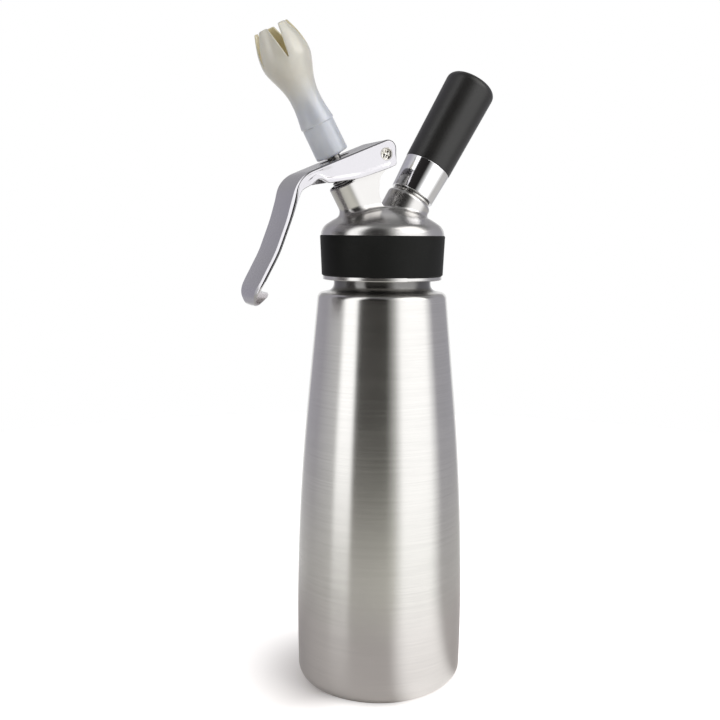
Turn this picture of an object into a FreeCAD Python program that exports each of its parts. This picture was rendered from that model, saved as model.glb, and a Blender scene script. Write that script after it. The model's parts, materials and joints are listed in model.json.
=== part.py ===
"""Whipped cream dispenser: steel bottle, head with lever valve, and charger holder.

Units are millimetres. +Z is up, the origin is the centre of the ring that the bottle
stands on, the lever reaches towards -X and the charger holder leans towards +X.
Every piece of the dispenser is written as its own STEP file.
"""
import FreeCAD, Part
import math
import os

Vector = FreeCAD.Vector

# ---------------------------------------------------------------- fits
fit = 0.04                    # round pieces pressed or glued together
running_fit = 0.05            # round pieces that turn or slide
thread_clearance = 0.2

# ---------------------------------------------------------------- bottle
bottle_radius = 46.0          # at the widest place
bottle_widest_height = 40.0
bottle_bow_end_height = 159.0  # above this the wall is a straight taper
shoulder_radius = 35.0
shoulder_height = 217.5
shoulder_edge = 3.2
shoulder_rise = 1.8           # the shoulder climbs this much on its way to the neck
neck_flare = 4.0
base_edge = 17.0
standing_ring_width = 5.0
base_recess_depth = 2.5
bottle_wall = 1.0
base_wall = 1.4
neck_radius = 26.4
neck_wall = 2.4
neck_height = 23.7            # from the shoulder to the mouth
neck_collar_height = 6.5      # plain neck between the shoulder and the first thread
mouth_overrun = 5.0           # the cavity's cut runs this far past the mouth
thread_root_depth = 0.9
thread_pitch = 3.2
thread_turns = 4

# ---------------------------------------------------------------- head shell
skirt_reach = 18.2            # from the bottle's mouth down to the lip
skirt_wall = 4.6
lip_width = 1.1               # beyond the skirt
lip_height = 2.3
band_top_thickness = 2.7
band_bottom_thickness = 1.7
band_height = 21.5
band_fit = 0.05
dome_inset = 0.5              # from the band's outside to the dome's edge
dome_height = 15.4            # above the band
dome_edge = 7.0
gasket_thickness = 2.5
gasket_width = 4.8
gasket_fit = 0.3
head_cavity_radius = 20.5
head_cavity_depth = 5.0

# ---------------------------------------------------------------- valve tube
valve_lean = 28.5             # degrees from upright, towards -X
valve_root_depth = 27.5       # the valve axis meets the bottle's axis this far below the dome's top
tube_radius = 9.6
tube_rim = 45.5               # places along the valve axis count from its root
tube_foot = 9.0
tube_edge = 0.8
tube_blend = 4.0              # rounded corner between the tube and the dome
tube_mouth_wall = 1.3
tube_mouth_depth = 11.5
tube_bore_radius = 6.4
valve_seat = 17.5
seat_hole_radius = 4.2
seat_land = 1.5
seat_pocket_radius = 8.0

# ---------------------------------------------------------------- valve
stem_radius = 3.6
stem_waist_radius = 2.6
stem_spigot_radius = 2.0
stem_bore_radius = 2.2
stem_waist_length = 4.5       # above the seat
stem_bore_start = 6.5         # above the seat
stem_port_start = 9.0         # above the seat
stem_port_radius = 1.3
thrust_collar_radius = 7.0
thrust_collar_rise = 4.9      # from the tube's rim to the collar's top
thrust_collar_thickness = 2.0
tip_flange_radius = 4.7
tip_flange_rise = 11.4        # from the thrust collar's top to the flange's top
tip_flange_thickness = 1.2
tip_thread_radius = 4.0
tip_thread_depth = 0.5
tip_thread_start = 2.2        # above the flange
tip_thread_pitch = 1.6
valve_head_radius = 6.4
valve_head_thickness = 2.5
valve_seal_thickness = 3.1
valve_gap = 0.1               # between the closed seal and its seat
stem_seal_height = 3.0
guide_recess = 1.9            # the bush ends this far below the rim
guide_wall = 0.8
guide_hub_wall = 1.25
guide_hub_drop = 1.2          # the hub ends this far below the bush
guide_floor = 3.0
spring_wire_radius = 0.5
spring_turns = 6

# ---------------------------------------------------------------- lever and its pivot
pivot_reach = 21.2            # from the valve axis to the pivot
pivot_rise = 4.66             # from the tube's rim to the pivot, along the valve axis
lug_radius = 4.0
web_thickness = 19.0
web_blend = 4.0
web_foot = 27.3               # place on the valve axis where the web ends
web_root_depth = 9.3          # the web reaches this far below the dome's top
web_back = [                  # (x, z, corner radius) from the pivot, down the web's back
    (lug_radius, -6.2, 2.0),
    (-0.7, -11.5, 8.0),
    (-1.1, -20.0, 14.0),
    (1.8, -30.5),
]
pin_radius = 2.6
pin_head_radius = 3.4
pin_head_thickness = 2.1
pin_dish_radius = 4.2
pin_dish_depth = 0.8
washer_radius = 3.9
washer_thickness = 1.1
lever_width = 32.0
lever_wall = 3.6
lever_plate = 2.2
strap_thickness = 2.4
lever_edge = 1.0              # bevel along the outer edges of the lever
lever_top = [                 # (x, z, corner radius) from the pivot, along the top and the strap
    (5.8, 9.6, 6.5),
    (-28.2, -4.5, 60.0),
    (-48.0, -12.8, 17.0),
    (-54.2, -34.7, 70.0),
    (-60.2, -50.7, 60.0),
    (-71.2, -71.4, 9.0),
]
lever_hook = [                # round the hooked end
    (-68.9, -81.9, 3.5),
    (-63.0, -73.4, 1.3),
    (-64.3, -71.0, 0.8),
]
lever_underside = [           # back along the side walls to the pivot
    (-48.3, -25.3, 20.0),
    (-46.3, -19.9, 6.0),
    (-41.0, -17.0, 2.0),
    (-36.6, -13.1, 3.5),
    (-32.0, -16.0, 3.0),
    (-14.7, -13.1, 40.0),
    (1.3, -7.5, 15.0),
    (5.8, -5.5, 1.2),
]
channel_overrun = 18.0        # the hollow runs this far past the lever's back
channel_below = [(23.8, -28.7), (-34.7, -55.7)]  # the hollow's open side, from the pivot
channel_corner = 9.0
tongue_length = 14.0          # height of the rounded end
tongue_inset = 1.6            # the rounded end starts this far above the hook's corner
slot_length = 17.5
slot_width = 10.2
slot_rise = 8.6               # from the thrust collar's top to the middle of the slot
slot_depth = 16.0
nose_width = 5.0
nose_gap = 0.1                # between the nose and the thrust collar
nose_height = 7.5
nose_stem_gap = 0.7

# ---------------------------------------------------------------- gas port
port_lean = 30.5              # degrees from upright, towards +X
port_root_depth = 22.9        # the port axis meets the bottle's axis this far below the dome's top
boss_radius = 12.6
boss_top = 32.2               # places along the port axis count from its root
boss_foot = 6.0
boss_edge = 2.4
boss_blend = 2.5
port_bore_radius = 7.5
port_bore_depth = 12.2
gas_passage_radius = 2.6
check_pocket_radius = 4.9
check_pocket_top = 11.0
port_flange_radius = 10.8
port_flange_thickness = 1.3
spigot_radius = 10.3
spigot_height = 10.1          # above the flange
spigot_thread_start = 0.8
spigot_thread_pitch = 1.8
spigot_thread_depth = 0.5
spigot_thread_turns = 4
neck_socket_radius = 5.3
neck_socket_depth = 11.0
charger_gasket_thickness = 2.0
needle_radius = 1.1
needle_length = 11.5
needle_rise = 4.9             # its point above the socket's floor
needle_point = 2.0
filter_thickness = 1.5
filter_radius = 4.5
filter_hole_radius = 0.5
filter_hole_circle = 2.4
filter_holes = 6
port_ring_radius = 8.6
port_ring_wire = 0.8
check_cap_radius = 4.4
check_cap_thickness = 1.6
check_stem_length = 7.0
gas_hole_radius = 0.8

# ---------------------------------------------------------------- charger and its holder
charger_length = 65.5
charger_radius = 9.3
charger_neck_radius = 4.4
charger_neck_length = 9.0
charger_shoulder = 7.0
charger_end_edge = 7.0
charger_wall = 1.3
charger_mouth_radius = 1.5
cup_clearance = 0.4
cup_wall = 1.9
cup_end_thickness = 1.6
cushion_thickness = 1.4
cushion_gap = 0.3             # between the charger's end and the cushion
cushion_radius = 6.0
holder_gap = 0.4              # between the port's flange and the holder
collar_bottom_step = 0.55     # the collar's lower end stands this far out of the cup
collar_top_step = 1.5
collar_height = 18.3
sleeve_top_step = 2.6
sleeve_end_thickness = 3.1
sleeve_edge = 4.5
sleeve_fit = 0.05

# ---------------------------------------------------------------- decorator tip
tip_drop = 0.5                # the tip's collar reaches this far below the flange's top
tip_collar_length = 17.4
tip_collar_bottom_radius = 8.9
tip_collar_top_radius = 8.65
tulip_form = [                # (place above the tip's bottom, outer radius)
    (18.4, 9.1),
    (28.7, 7.8),
    (38.2, 8.7),
    (44.7, 10.9),
    (50.7, 12.9),
    (55.7, 13.1),
    (62.2, 11.9),
    (70.0, 9.2),
]
tulip_wall = 2.0
petal_count = 5
petal_turn = 40.0             # degrees from +X to the first slit
slit_start = 53.7             # above the tip's bottom
slit_bottom_width = 0.5
slit_top_width = 6.6
insert_radius = 6.0
insert_length = 11.8
stem_end_gap = 1.0            # the stem ends this far below the insert's top
tip_thread_fit = 0.1
tip_seal_thickness = 0.9

# ---------------------------------------------------------------- places that follow
mouth_height = shoulder_height + shoulder_rise + neck_height
neck_bore = neck_radius + thread_clearance
skirt_radius = neck_bore + skirt_wall
lip_bottom = mouth_height - skirt_reach
band_bottom = lip_bottom + lip_height
band_top = band_bottom + band_height
dome_edge_radius = skirt_radius + band_top_thickness - dome_inset
dome_edge_height = band_top + 0.1
dome_top = band_top + dome_height
gasket_top = mouth_height + gasket_thickness
ceiling = gasket_top + head_cavity_depth

valve_root_height = dome_top - valve_root_depth
tube_mouth_radius = tube_radius - tube_mouth_wall
guide_bottom = tube_rim - tube_mouth_depth
guide_top = tube_rim - guide_recess
guide_hub_radius = stem_radius + running_fit + guide_hub_wall
spring_pocket_radius = tube_mouth_radius - fit - guide_wall
spring_radius = (guide_hub_radius + spring_pocket_radius) / 2  # to the middle of the wire
thrust_collar_top = tube_rim + thrust_collar_rise
tip_flange_top = thrust_collar_top + tip_flange_rise
tip_bottom = tip_flange_top - tip_drop
tulip_top = tip_bottom + tulip_form[-1][0]
insert_bottom = tip_flange_top + tip_seal_thickness
insert_top = insert_bottom + insert_length
stem_top = insert_top - stem_end_gap
lug_width = lever_width - 2 * (lever_wall + washer_thickness + 2 * running_fit)

port_root_height = dome_top - port_root_depth
port_bore_bottom = boss_top - port_bore_depth
flange_top = boss_top + port_flange_thickness
spigot_top = flange_top + spigot_height
neck_socket_bottom = spigot_top - neck_socket_depth
needle_top = neck_socket_bottom + needle_rise
needle_bottom = needle_top - needle_length
charger_bottom = neck_socket_bottom + charger_gasket_thickness
charger_end = charger_bottom + charger_length
cup_bore = charger_radius + cup_clearance
cup_radius = cup_bore + cup_wall
cup_floor = charger_end + cushion_gap + cushion_thickness
cup_end = cup_floor + cup_end_thickness
holder_bottom = flange_top + holder_gap
collar_top = holder_bottom + collar_height
sleeve_top = cup_end + sleeve_end_thickness


# ================================================================ drawing tools
def direction(a, b):
    """Unit vector from a to b."""
    return (b - a).normalize()


def corner_arc(before, corner, after, radius):
    """Round a corner: the arc's first, middle and last point, or None for a sharp one."""
    to_before = direction(corner, before)
    to_after = direction(corner, after)
    half_angle = 0.5 * math.acos(max(-1.0, min(1.0, to_before.dot(to_after))))
    if radius <= 0 or half_angle > math.pi / 2 - 1e-4:
        return None
    room = 0.5 * min((before - corner).Length, (after - corner).Length)
    radius = min(radius, 0.98 * room * math.tan(half_angle))
    reach = radius / math.tan(half_angle)
    bisector = (to_before + to_after).normalize()
    middle = corner + bisector * (radius / math.sin(half_angle) - radius)
    return corner + to_before * reach, middle, corner + to_after * reach


def rounded_path(points, closed=False):
    """Edges of a path in the XZ plane through (x, z) or (x, z, corner radius) points."""
    corners = [Vector(p[0], 0, p[1]) for p in points]
    radii = [p[2] if len(p) > 2 else 0 for p in points]
    count = len(corners)
    stops = []
    for i in range(count):
        inner = closed or 0 < i < count - 1
        arc = None
        if inner:
            arc = corner_arc(corners[i - 1], corners[i], corners[(i + 1) % count], radii[i])
        stops.append(arc or (corners[i],))
    edges = []
    for i, stop in enumerate(stops):
        if len(stop) == 3:
            edges.append(Part.Arc(*stop).toShape())
        if i + 1 < count or closed:
            start = stop[-1]
            end = stops[(i + 1) % count][0]
            if (end - start).Length > 1e-6:
                edges.append(Part.LineSegment(start, end).toShape())
    return edges


def closed_face(points):
    """Flat face in the XZ plane inside a closed outline with rounded corners."""
    return Part.Face(Part.Wire(rounded_path(points, closed=True)))


def spun(face):
    """Full turn of a face about the Z axis."""
    return face.revolve(Vector(0, 0, 0), Vector(0, 0, 1), 360)


def turned(points):
    """Solid of revolution about the Z axis from a rounded (radius, height) outline."""
    return spun(closed_face(points))


def slab(points, low_y, high_y):
    """Prism between two Y values from a rounded (x, z) outline."""
    face = closed_face(points)
    face.translate(Vector(0, low_y, 0))
    return face.extrude(Vector(0, high_y - low_y, 0))


def ring(inner, outer, bottom, top, edge=0.0):
    """Flat ring about the Z axis with rounded edges."""
    return turned([(inner, bottom, edge), (outer, bottom, edge), (outer, top, edge), (inner, top, edge)])


def disc(radius, bottom, top):
    """Plain cylinder about the Z axis."""
    return Part.makeCylinder(radius, top - bottom, Vector(0, 0, bottom))


def leaned(shape, lean, root_height):
    """Move a shape drawn about the Z axis onto an axis that leans in the XZ plane."""
    shape = shape.copy()
    shape.rotate(Vector(0, 0, 0), Vector(0, 1, 0), lean)
    shape.translate(Vector(0, 0, root_height))
    return shape


def on_valve(shape):
    """Place a shape on the valve axis."""
    return leaned(shape, -valve_lean, valve_root_height)


def on_port(shape):
    """Place a shape on the gas port axis."""
    return leaned(shape, port_lean, port_root_height)


pivot = on_valve(Part.Vertex(pivot_reach, 0, tube_rim + pivot_rise)).Point


def from_pivot(points):
    """Outline points given from the pivot, moved to their place."""
    return [(pivot.x + p[0], pivot.z + p[1]) + tuple(p[2:]) for p in points]


def cross_cylinder(radius, low_y, high_y):
    """Cylinder on the pivot axis between two Y values."""
    return Part.makeCylinder(radius, high_y - low_y, Vector(pivot.x, low_y, pivot.z), Vector(0, 1, 0))


def offset_path(points, distance):
    """Points of an open path moved sideways, to the left of its run, with mitred corners."""
    spots = [Vector(p[0], 0, p[1]) for p in points]
    moved = []
    for i, spot in enumerate(spots):
        runs = []
        if i > 0:
            runs.append(direction(spots[i - 1], spot))
        if i + 1 < len(spots):
            runs.append(direction(spot, spots[i + 1]))
        normals = [Vector(-run.z, 0, run.x) for run in runs]
        mitre = sum(normals[1:], normals[0]).normalize()
        moved.append(spot + mitre * (distance / mitre.dot(normals[0])))
    return [(p.x, p.z) for p in moved]


def thread_outline(root, crest, bottom, pitch, turns):
    """Outline points of thread ridges that climb a root radius from a bottom height."""
    points = []
    for turn in range(turns):
        start = bottom + turn * pitch
        points.append((root, start))
        points.append((crest, start + 0.3 * pitch, 0.2))
        points.append((crest, start + 0.5 * pitch, 0.2))
        points.append((root, start + 0.8 * pitch))
    return points


# ================================================================ bottle
def bow():
    """Circle that the lower wall follows: its radius and the slope where it ends."""
    rise = bottle_bow_end_height - bottle_widest_height
    taper_length = shoulder_height - bottle_bow_end_height
    slope = math.atan((bottle_radius - shoulder_radius) / (taper_length + rise / 2))
    return rise / math.sin(slope), slope


def bottle_edges(inset, base_height, edge_radius):
    """Wall of the bottle from the base to the shoulder, moved inwards by an inset."""
    bow_radius, slope = bow()
    middle = Vector(bottle_radius - bow_radius, 0, bottle_widest_height)
    radius = bow_radius - inset
    drop = middle.z - base_height - edge_radius
    edge_middle = Vector(
        middle.x + math.sqrt((radius - edge_radius) ** 2 - drop**2), 0, base_height + edge_radius
    )
    low = middle + direction(middle, edge_middle) * radius
    high = middle + Vector(math.cos(slope), 0, math.sin(slope)) * radius
    floor_end = edge_middle - Vector(0, 0, edge_radius)
    turn = (direction(edge_middle, low) + direction(edge_middle, floor_end)).normalize()
    widest = middle + Vector(radius, 0, 0)
    edges = [
        Part.Arc(floor_end, edge_middle + turn * edge_radius, low).toShape(),
        Part.Arc(low, widest, high).toShape(),
    ]
    return edges, floor_end, high


def bottle_outer():
    """Outside of the bottle as a solid, with the threaded neck."""
    edges, floor_end, high = bottle_edges(0, 0, base_edge)
    ring_inner = floor_end.x - standing_ring_width
    thread_start = shoulder_height + shoulder_rise + neck_collar_height
    neck_root = neck_radius - thread_root_depth
    upper = [
        (high.x, high.z),
        (shoulder_radius, shoulder_height, shoulder_edge),
        (neck_radius, shoulder_height + shoulder_rise, neck_flare),
        (neck_radius, thread_start, 0.3),
        (neck_root, thread_start + 0.3),
    ]
    upper += thread_outline(neck_root, neck_radius, thread_start + 0.6, thread_pitch, thread_turns)
    upper += [(neck_root, mouth_height, 0.8), (0, mouth_height)]
    recess = [
        (0, mouth_height),
        (0, base_recess_depth),
        (ring_inner - base_recess_depth, base_recess_depth, 2.0),
        (ring_inner, 0, 0.8),
        (floor_end.x, 0),
    ]
    outline = rounded_path(upper) + rounded_path(recess) + edges
    return spun(Part.Face(Part.Wire(Part.__sortEdges__(outline))))


def bottle_cavity():
    """Hollow of the bottle, open through the mouth."""
    edges, floor_end, high = bottle_edges(bottle_wall, base_wall, base_edge - bottle_wall)
    raised = base_recess_depth + base_wall
    bore = neck_radius - thread_root_depth - neck_wall
    over = mouth_height + mouth_overrun
    upper = [
        (high.x, high.z),
        (shoulder_radius - bottle_wall, shoulder_height - bottle_wall, shoulder_edge - bottle_wall),
        (bore, shoulder_height + shoulder_rise - bottle_wall, neck_flare + bottle_wall),
        (bore, over),
        (0, over),
    ]
    floor = [
        (0, over),
        (0, raised),
        (floor_end.x - standing_ring_width, raised, 2.0),
        (floor_end.x - standing_ring_width + base_recess_depth, base_wall, 0.5),
        (floor_end.x, base_wall),
    ]
    outline = rounded_path(upper) + rounded_path(floor) + edges
    return spun(Part.Face(Part.Wire(Part.__sortEdges__(outline))))


def make_bottle():
    """Drawn steel bottle with a recessed base and a threaded neck."""
    return bottle_outer().cut(bottle_cavity())


# ================================================================ head
def dome_ball_radius():
    """Radius of the ball that meets the apex and the rounded edge of the dome."""
    rise = dome_top - dome_edge_height
    reach = dome_edge_radius - dome_edge
    return (rise**2 - dome_edge**2 + reach**2) / (2 * (rise - dome_edge))


def head_shell():
    """Skirt, lip and dome in one turned solid."""
    ball = dome_ball_radius()
    middle = Vector(0, 0, dome_top - ball)
    edge_middle = Vector(dome_edge_radius - dome_edge, 0, dome_edge_height)
    outward = direction(middle, edge_middle)
    across = (outward + Vector(1, 0, 0)).normalize()
    meet = middle + outward * ball
    half_way = middle + (outward + Vector(0, 0, 1)).normalize() * ball
    apex = Vector(0, 0, dome_top)
    side = rounded_path([
        (0, dome_top),
        (0, lip_bottom),
        (skirt_radius + lip_width, lip_bottom, 0.5),
        (skirt_radius + lip_width, band_bottom, 0.4),
        (skirt_radius, band_bottom),
        (skirt_radius, band_top),
        (dome_edge_radius, band_top),
        (dome_edge_radius, dome_edge_height),
    ])
    edge = Part.Arc(Vector(dome_edge_radius, 0, dome_edge_height), edge_middle + across * dome_edge, meet)
    cap = Part.Arc(meet, half_way, apex)
    return spun(Part.Face(Part.Wire(side + [edge.toShape(), cap.toShape()])))


def valve_spot(across, along):
    """Place in the upright plane, as (x, z), of a point given about the valve axis."""
    spot = on_valve(Part.Vertex(across, 0, along)).Point
    return spot.x, spot.z


def lever_web():
    """Upright web that carries the lever's pivot, beside the valve tube."""
    foot, rim_side = valve_spot(0, web_foot), valve_spot(tube_radius, tube_rim)
    back = from_pivot([(lug_radius, 0)] + web_back)
    root = [(back[-1][0], dome_top - web_root_depth), foot, rim_side]
    front = from_pivot([(-lug_radius, 0)])
    half = web_thickness / 2
    lug = cross_cylinder(lug_radius, -lug_width / 2, lug_width / 2)
    return slab(back + root + front, -half, half).fuse(lug).removeSplitter()


def web_cheeks():
    """Flat sides that carry the web's faces on to the widest part of the valve tube."""
    outline = [valve_spot(0, web_foot), valve_spot(tube_radius, tube_rim), valve_spot(0, tube_rim)]
    half = web_thickness / 2
    return slab(outline, -half, half)


def valve_tube():
    """Outside of the tube that holds the valve."""
    outline = [
        (0, tube_foot),
        (tube_radius, tube_foot),
        (tube_radius, tube_rim, tube_edge),
        (0, tube_rim),
    ]
    return on_valve(turned(outline))


def valve_bores():
    """Everything cut along the valve axis: mouth, bore, seat hole and seat pocket."""
    over = tube_rim + 2
    mouth = disc(tube_mouth_radius, tube_rim - tube_mouth_depth, over)
    bore = disc(tube_bore_radius, valve_seat + seat_land, over)
    seat_hole = disc(seat_hole_radius, 0, over)
    pocket = disc(seat_pocket_radius, -2.0, valve_seat)
    return on_valve(mouth.fuse([bore, seat_hole, pocket]))


def port_boss():
    """Outside of the boss that takes the charger."""
    outline = [
        (0, boss_foot),
        (boss_radius, boss_foot),
        (boss_radius, boss_top, boss_edge),
        (0, boss_top),
    ]
    return on_port(turned(outline))


def port_bores():
    """Everything cut along the port axis: insert bore, gas passage, pocket and ring groove."""
    over = boss_top + 2
    bore = disc(port_bore_radius, port_bore_bottom, over)
    passage = disc(gas_passage_radius, 0, over)
    pocket = disc(check_pocket_radius, 0, check_pocket_top)
    groove = ring(
        port_ring_radius - port_ring_wire,
        port_ring_radius + port_ring_wire,
        boss_top - 2 * port_ring_wire,
        boss_top + 1,
    )
    return on_port(bore.fuse([passage, pocket, groove]))


def lies_on_dome(edge):
    """True for an edge that runs across the ball of the dome, above its rounded rim."""
    ball = dome_ball_radius()
    middle = Vector(0, 0, dome_top - ball)
    length = edge.LastParameter - edge.FirstParameter
    spots = [edge.valueAt(edge.FirstParameter + share * length) for share in (0.1, 0.5, 0.9)]
    on_ball = all(abs((spot - middle).Length - ball) < 1e-3 for spot in spots)
    return on_ball and edge.BoundBox.ZLength > 1e-3 and spots[1].z > dome_edge_height + 3.0


def grown_from_dome(part, blend):
    """Head shell with one part joined to its dome through a rounded corner."""
    solid = head_shell().fuse(part).removeSplitter()
    return solid.makeFillet(blend, [e for e in solid.Edges if lies_on_dome(e)])


def make_head_body():
    """Head: skirt, dome, valve tube, lever web and gas port boss in one casting."""
    tube_side = grown_from_dome(valve_tube(), tube_blend)
    port_side = grown_from_dome(port_boss(), boss_blend)
    web_side = grown_from_dome(lever_web(), web_blend)
    solid = tube_side.fuse([port_side, web_side, web_cheeks()]).removeSplitter()
    hollow = disc(neck_bore, lip_bottom - 1, gasket_top)
    cavity = disc(head_cavity_radius, lip_bottom - 1, ceiling)
    pivot_hole = cross_cylinder(pin_radius + running_fit, -lug_width, lug_width)
    return solid.cut([hollow, cavity, pivot_hole, valve_bores(), port_bores()])


def make_grip_band():
    """Silicone band stretched round the skirt."""
    inner = skirt_radius + band_fit
    return turned([
        (inner, band_bottom),
        (skirt_radius + band_bottom_thickness, band_bottom, 0.6),
        (skirt_radius + band_top_thickness, band_top, 0.7),
        (inner, band_top),
    ])


def make_head_gasket():
    """Flat seal between the head and the mouth of the bottle."""
    outer = neck_bore - gasket_fit
    return ring(outer - gasket_width, outer, mouth_height, gasket_top, 0.3)


# ================================================================ valve
def stem_outline():
    """Outline of the stem from its lower spigot to the thread for the tip."""
    valve_bottom = valve_seat - valve_gap - valve_seal_thickness - valve_head_thickness
    return [
        (0, valve_bottom),
        (stem_spigot_radius, valve_bottom, 0.3),
        (stem_spigot_radius, valve_seat - valve_gap),
        (stem_waist_radius, valve_seat - valve_gap),
        (stem_waist_radius, valve_seat + stem_waist_length),
        (stem_radius, valve_seat + stem_waist_length + 1, 0.3),
        (stem_radius, thrust_collar_top - thrust_collar_thickness),
        (thrust_collar_radius, thrust_collar_top - thrust_collar_thickness, 0.3),
        (thrust_collar_radius, thrust_collar_top, 0.5),
        (stem_radius, thrust_collar_top, 0.4),
        (stem_radius, tip_flange_top - tip_flange_thickness),
        (tip_flange_radius, tip_flange_top - tip_flange_thickness, 0.2),
        (tip_flange_radius, tip_flange_top, 0.2),
        (tip_thread_radius - tip_thread_depth, tip_flange_top),
    ]


def make_valve_stem():
    """Hollow stem: cream enters the cross ports and leaves at the top."""
    root = tip_thread_radius - tip_thread_depth
    start = tip_flange_top + tip_thread_start
    turns = int((stem_top - start) / tip_thread_pitch + 0.2)
    thread = thread_outline(root, tip_thread_radius, start, tip_thread_pitch, turns)
    stem = turned(stem_outline() + thread + [(root, stem_top, 0.3), (0, stem_top)])
    bore = disc(stem_bore_radius, valve_seat + stem_bore_start, stem_top + 1)
    port_place = valve_seat + stem_port_start
    ports = [
        Part.makeCylinder(stem_port_radius, 4 * stem_radius, Vector(x, y, port_place), Vector(-x, -y, 0))
        for x, y in ((2 * stem_radius, 0), (0, 2 * stem_radius))
    ]
    return on_valve(stem.cut([bore] + ports))


def make_valve_seal():
    """Rubber disc that closes the seat from below."""
    top = valve_seat - valve_gap
    return on_valve(ring(stem_spigot_radius + fit, valve_head_radius, top - valve_seal_thickness, top, 0.4))


def make_valve_head():
    """Steel disc screwed on the stem under the rubber disc."""
    top = valve_seat - valve_gap - valve_seal_thickness
    return on_valve(ring(stem_spigot_radius + fit, valve_head_radius, top - valve_head_thickness, top, 0.4))


def make_stem_seal():
    """Lip seal round the stem, under the guide bush."""
    return on_valve(ring(
        stem_radius + running_fit, tube_bore_radius - fit, guide_bottom - stem_seal_height, guide_bottom, 0.3
    ))


def make_stem_guide():
    """Black bush in the tube's mouth, with a pocket for the spring."""
    outer = tube_mouth_radius - fit
    floor = guide_bottom + guide_floor
    return on_valve(turned([
        (stem_radius + running_fit, guide_bottom),
        (outer, guide_bottom),
        (outer, guide_top, 0.4),
        (spring_pocket_radius, guide_top),
        (spring_pocket_radius, floor),
        (guide_hub_radius, floor),
        (guide_hub_radius, guide_top - guide_hub_drop, 0.3),
        (stem_radius + running_fit, guide_top - guide_hub_drop),
    ]))


def make_valve_spring():
    """Coil spring that lifts the stem by its thrust collar."""
    low = guide_bottom + guide_floor + spring_wire_radius
    high = thrust_collar_top - thrust_collar_thickness - spring_wire_radius
    length = high - low
    helix = Part.makeHelix(length / spring_turns, length, spring_radius)
    section = Part.Wire(Part.makeCircle(spring_wire_radius, Vector(spring_radius, 0, 0), Vector(0, 1, 0)))
    coil = Part.Wire(helix).makePipeShell([section], True, True)
    coil.translate(Vector(0, 0, low))
    return on_valve(coil)


# ================================================================ lever
def lever_side():
    """Outline of the lever seen from the side: channel, bend, strap and hooked end."""
    strap = offset_path(lever_top[2:], strap_thickness)
    inside = [
        (strap[3][0] + 0.25 * strap_thickness, strap[3][1] + 0.65 * strap_thickness, 1.2),
        (strap[2][0], strap[2][1], lever_top[4][2]),
        (strap[1][0], strap[1][1], lever_top[3][2]),
    ]
    return from_pivot(lever_top + lever_hook + inside + lever_underside)


def channel_hollow():
    """Space between the side walls, under the top plate and behind the strap."""
    plate = offset_path(lever_top[:3], lever_plate)
    strap = offset_path(lever_top[1:5], strap_thickness)
    slope = (plate[0][1] - plate[1][1]) / (plate[0][0] - plate[1][0])
    half = lever_width / 2 - lever_wall
    outline = [
        (plate[0][0] + channel_overrun, plate[0][1] + channel_overrun * slope),
        (plate[1][0], plate[1][1], lever_top[1][2]),
        (strap[1][0], strap[1][1], channel_corner),
        (strap[2][0], strap[2][1], lever_top[3][2]),
        (strap[3][0], strap[3][1]),
        channel_below[1],
        channel_below[0],
    ]
    return slab(from_pivot(outline), -half, half)


def stem_slot():
    """Oblong hole in the top plate that the stem passes through."""
    middle = on_valve(Part.Vertex(0, 0, thrust_collar_top + slot_rise)).Point
    straight = (slot_length - slot_width) / 2
    half = slot_width / 2
    low = -slot_depth / 2
    bar = Part.makeBox(2 * straight, slot_width, slot_depth, Vector(-straight, -half, low))
    ends = [Part.makeCylinder(half, slot_depth, Vector(x, 0, low)) for x in (-straight, straight)]
    slot = bar.fuse(ends)
    run = direction(Vector(lever_top[1][0], 0, lever_top[1][1]), Vector(lever_top[0][0], 0, lever_top[0][1]))
    slot.rotate(Vector(0, 0, 0), Vector(0, 1, 0), -math.degrees(math.atan2(run.z, run.x)))
    slot.translate(middle)
    return slot


def lever_noses():
    """Two ribs under the plate that push the thrust collar down, one each side of the stem."""
    bottom = thrust_collar_top + nose_gap
    half = nose_width / 2
    top = bottom + nose_height
    outline = [(-half, bottom, half - 0.01), (half, bottom, half - 0.01), (half, top), (-half, top)]
    inner = stem_radius + nose_stem_gap
    outer = (lever_width - lever_wall) / 2
    left = on_valve(slab(outline, -outer, -inner))
    right = on_valve(slab(outline, inner, outer))
    return [left, right]


def tongue():
    """Front view of the lever: straight sides with a rounded lower end."""
    half = lever_width / 2
    corners = from_pivot(lever_top + lever_hook)
    low = corners[len(lever_top)][1] + tongue_inset
    high = corners[0][1] + lever_wall
    start = low + tongue_length
    bottom = Part.Arc(Vector(0, -half, start), Vector(0, 0, low), Vector(0, half, start)).toShape()
    sides = Part.makePolygon([
        Vector(0, half, start), Vector(0, half, high), Vector(0, -half, high), Vector(0, -half, start)
    ])
    face = Part.Face(Part.Wire([bottom] + sides.Edges))
    spread = [p[0] for p in corners]
    face.translate(Vector(min(spread) - lever_wall, 0, 0))
    return face.extrude(Vector(max(spread) - min(spread) + 2 * lever_wall, 0, 0))


def make_lever():
    """Cast lever: a channel over the valve, and a strap with a hooked end for the hand."""
    half = lever_width / 2
    body = slab(lever_side(), -half, half)
    outer = [e for e in body.Edges if abs(abs(e.CenterOfMass.y) - half) < 1e-6 and is_on_lever_top(e)]
    body = body.makeChamfer(lever_edge, outer)
    body = body.common(tongue()).cut(channel_hollow()).fuse(lever_noses())
    inside = lug_width / 2
    pin_holes = [
        cross_cylinder(pin_head_radius + fit, -lever_width, -inside),
        cross_cylinder(pin_head_radius + fit, inside, lever_width),
    ]
    return body.cut(pin_holes + [stem_slot()]).removeSplitter()


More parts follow.
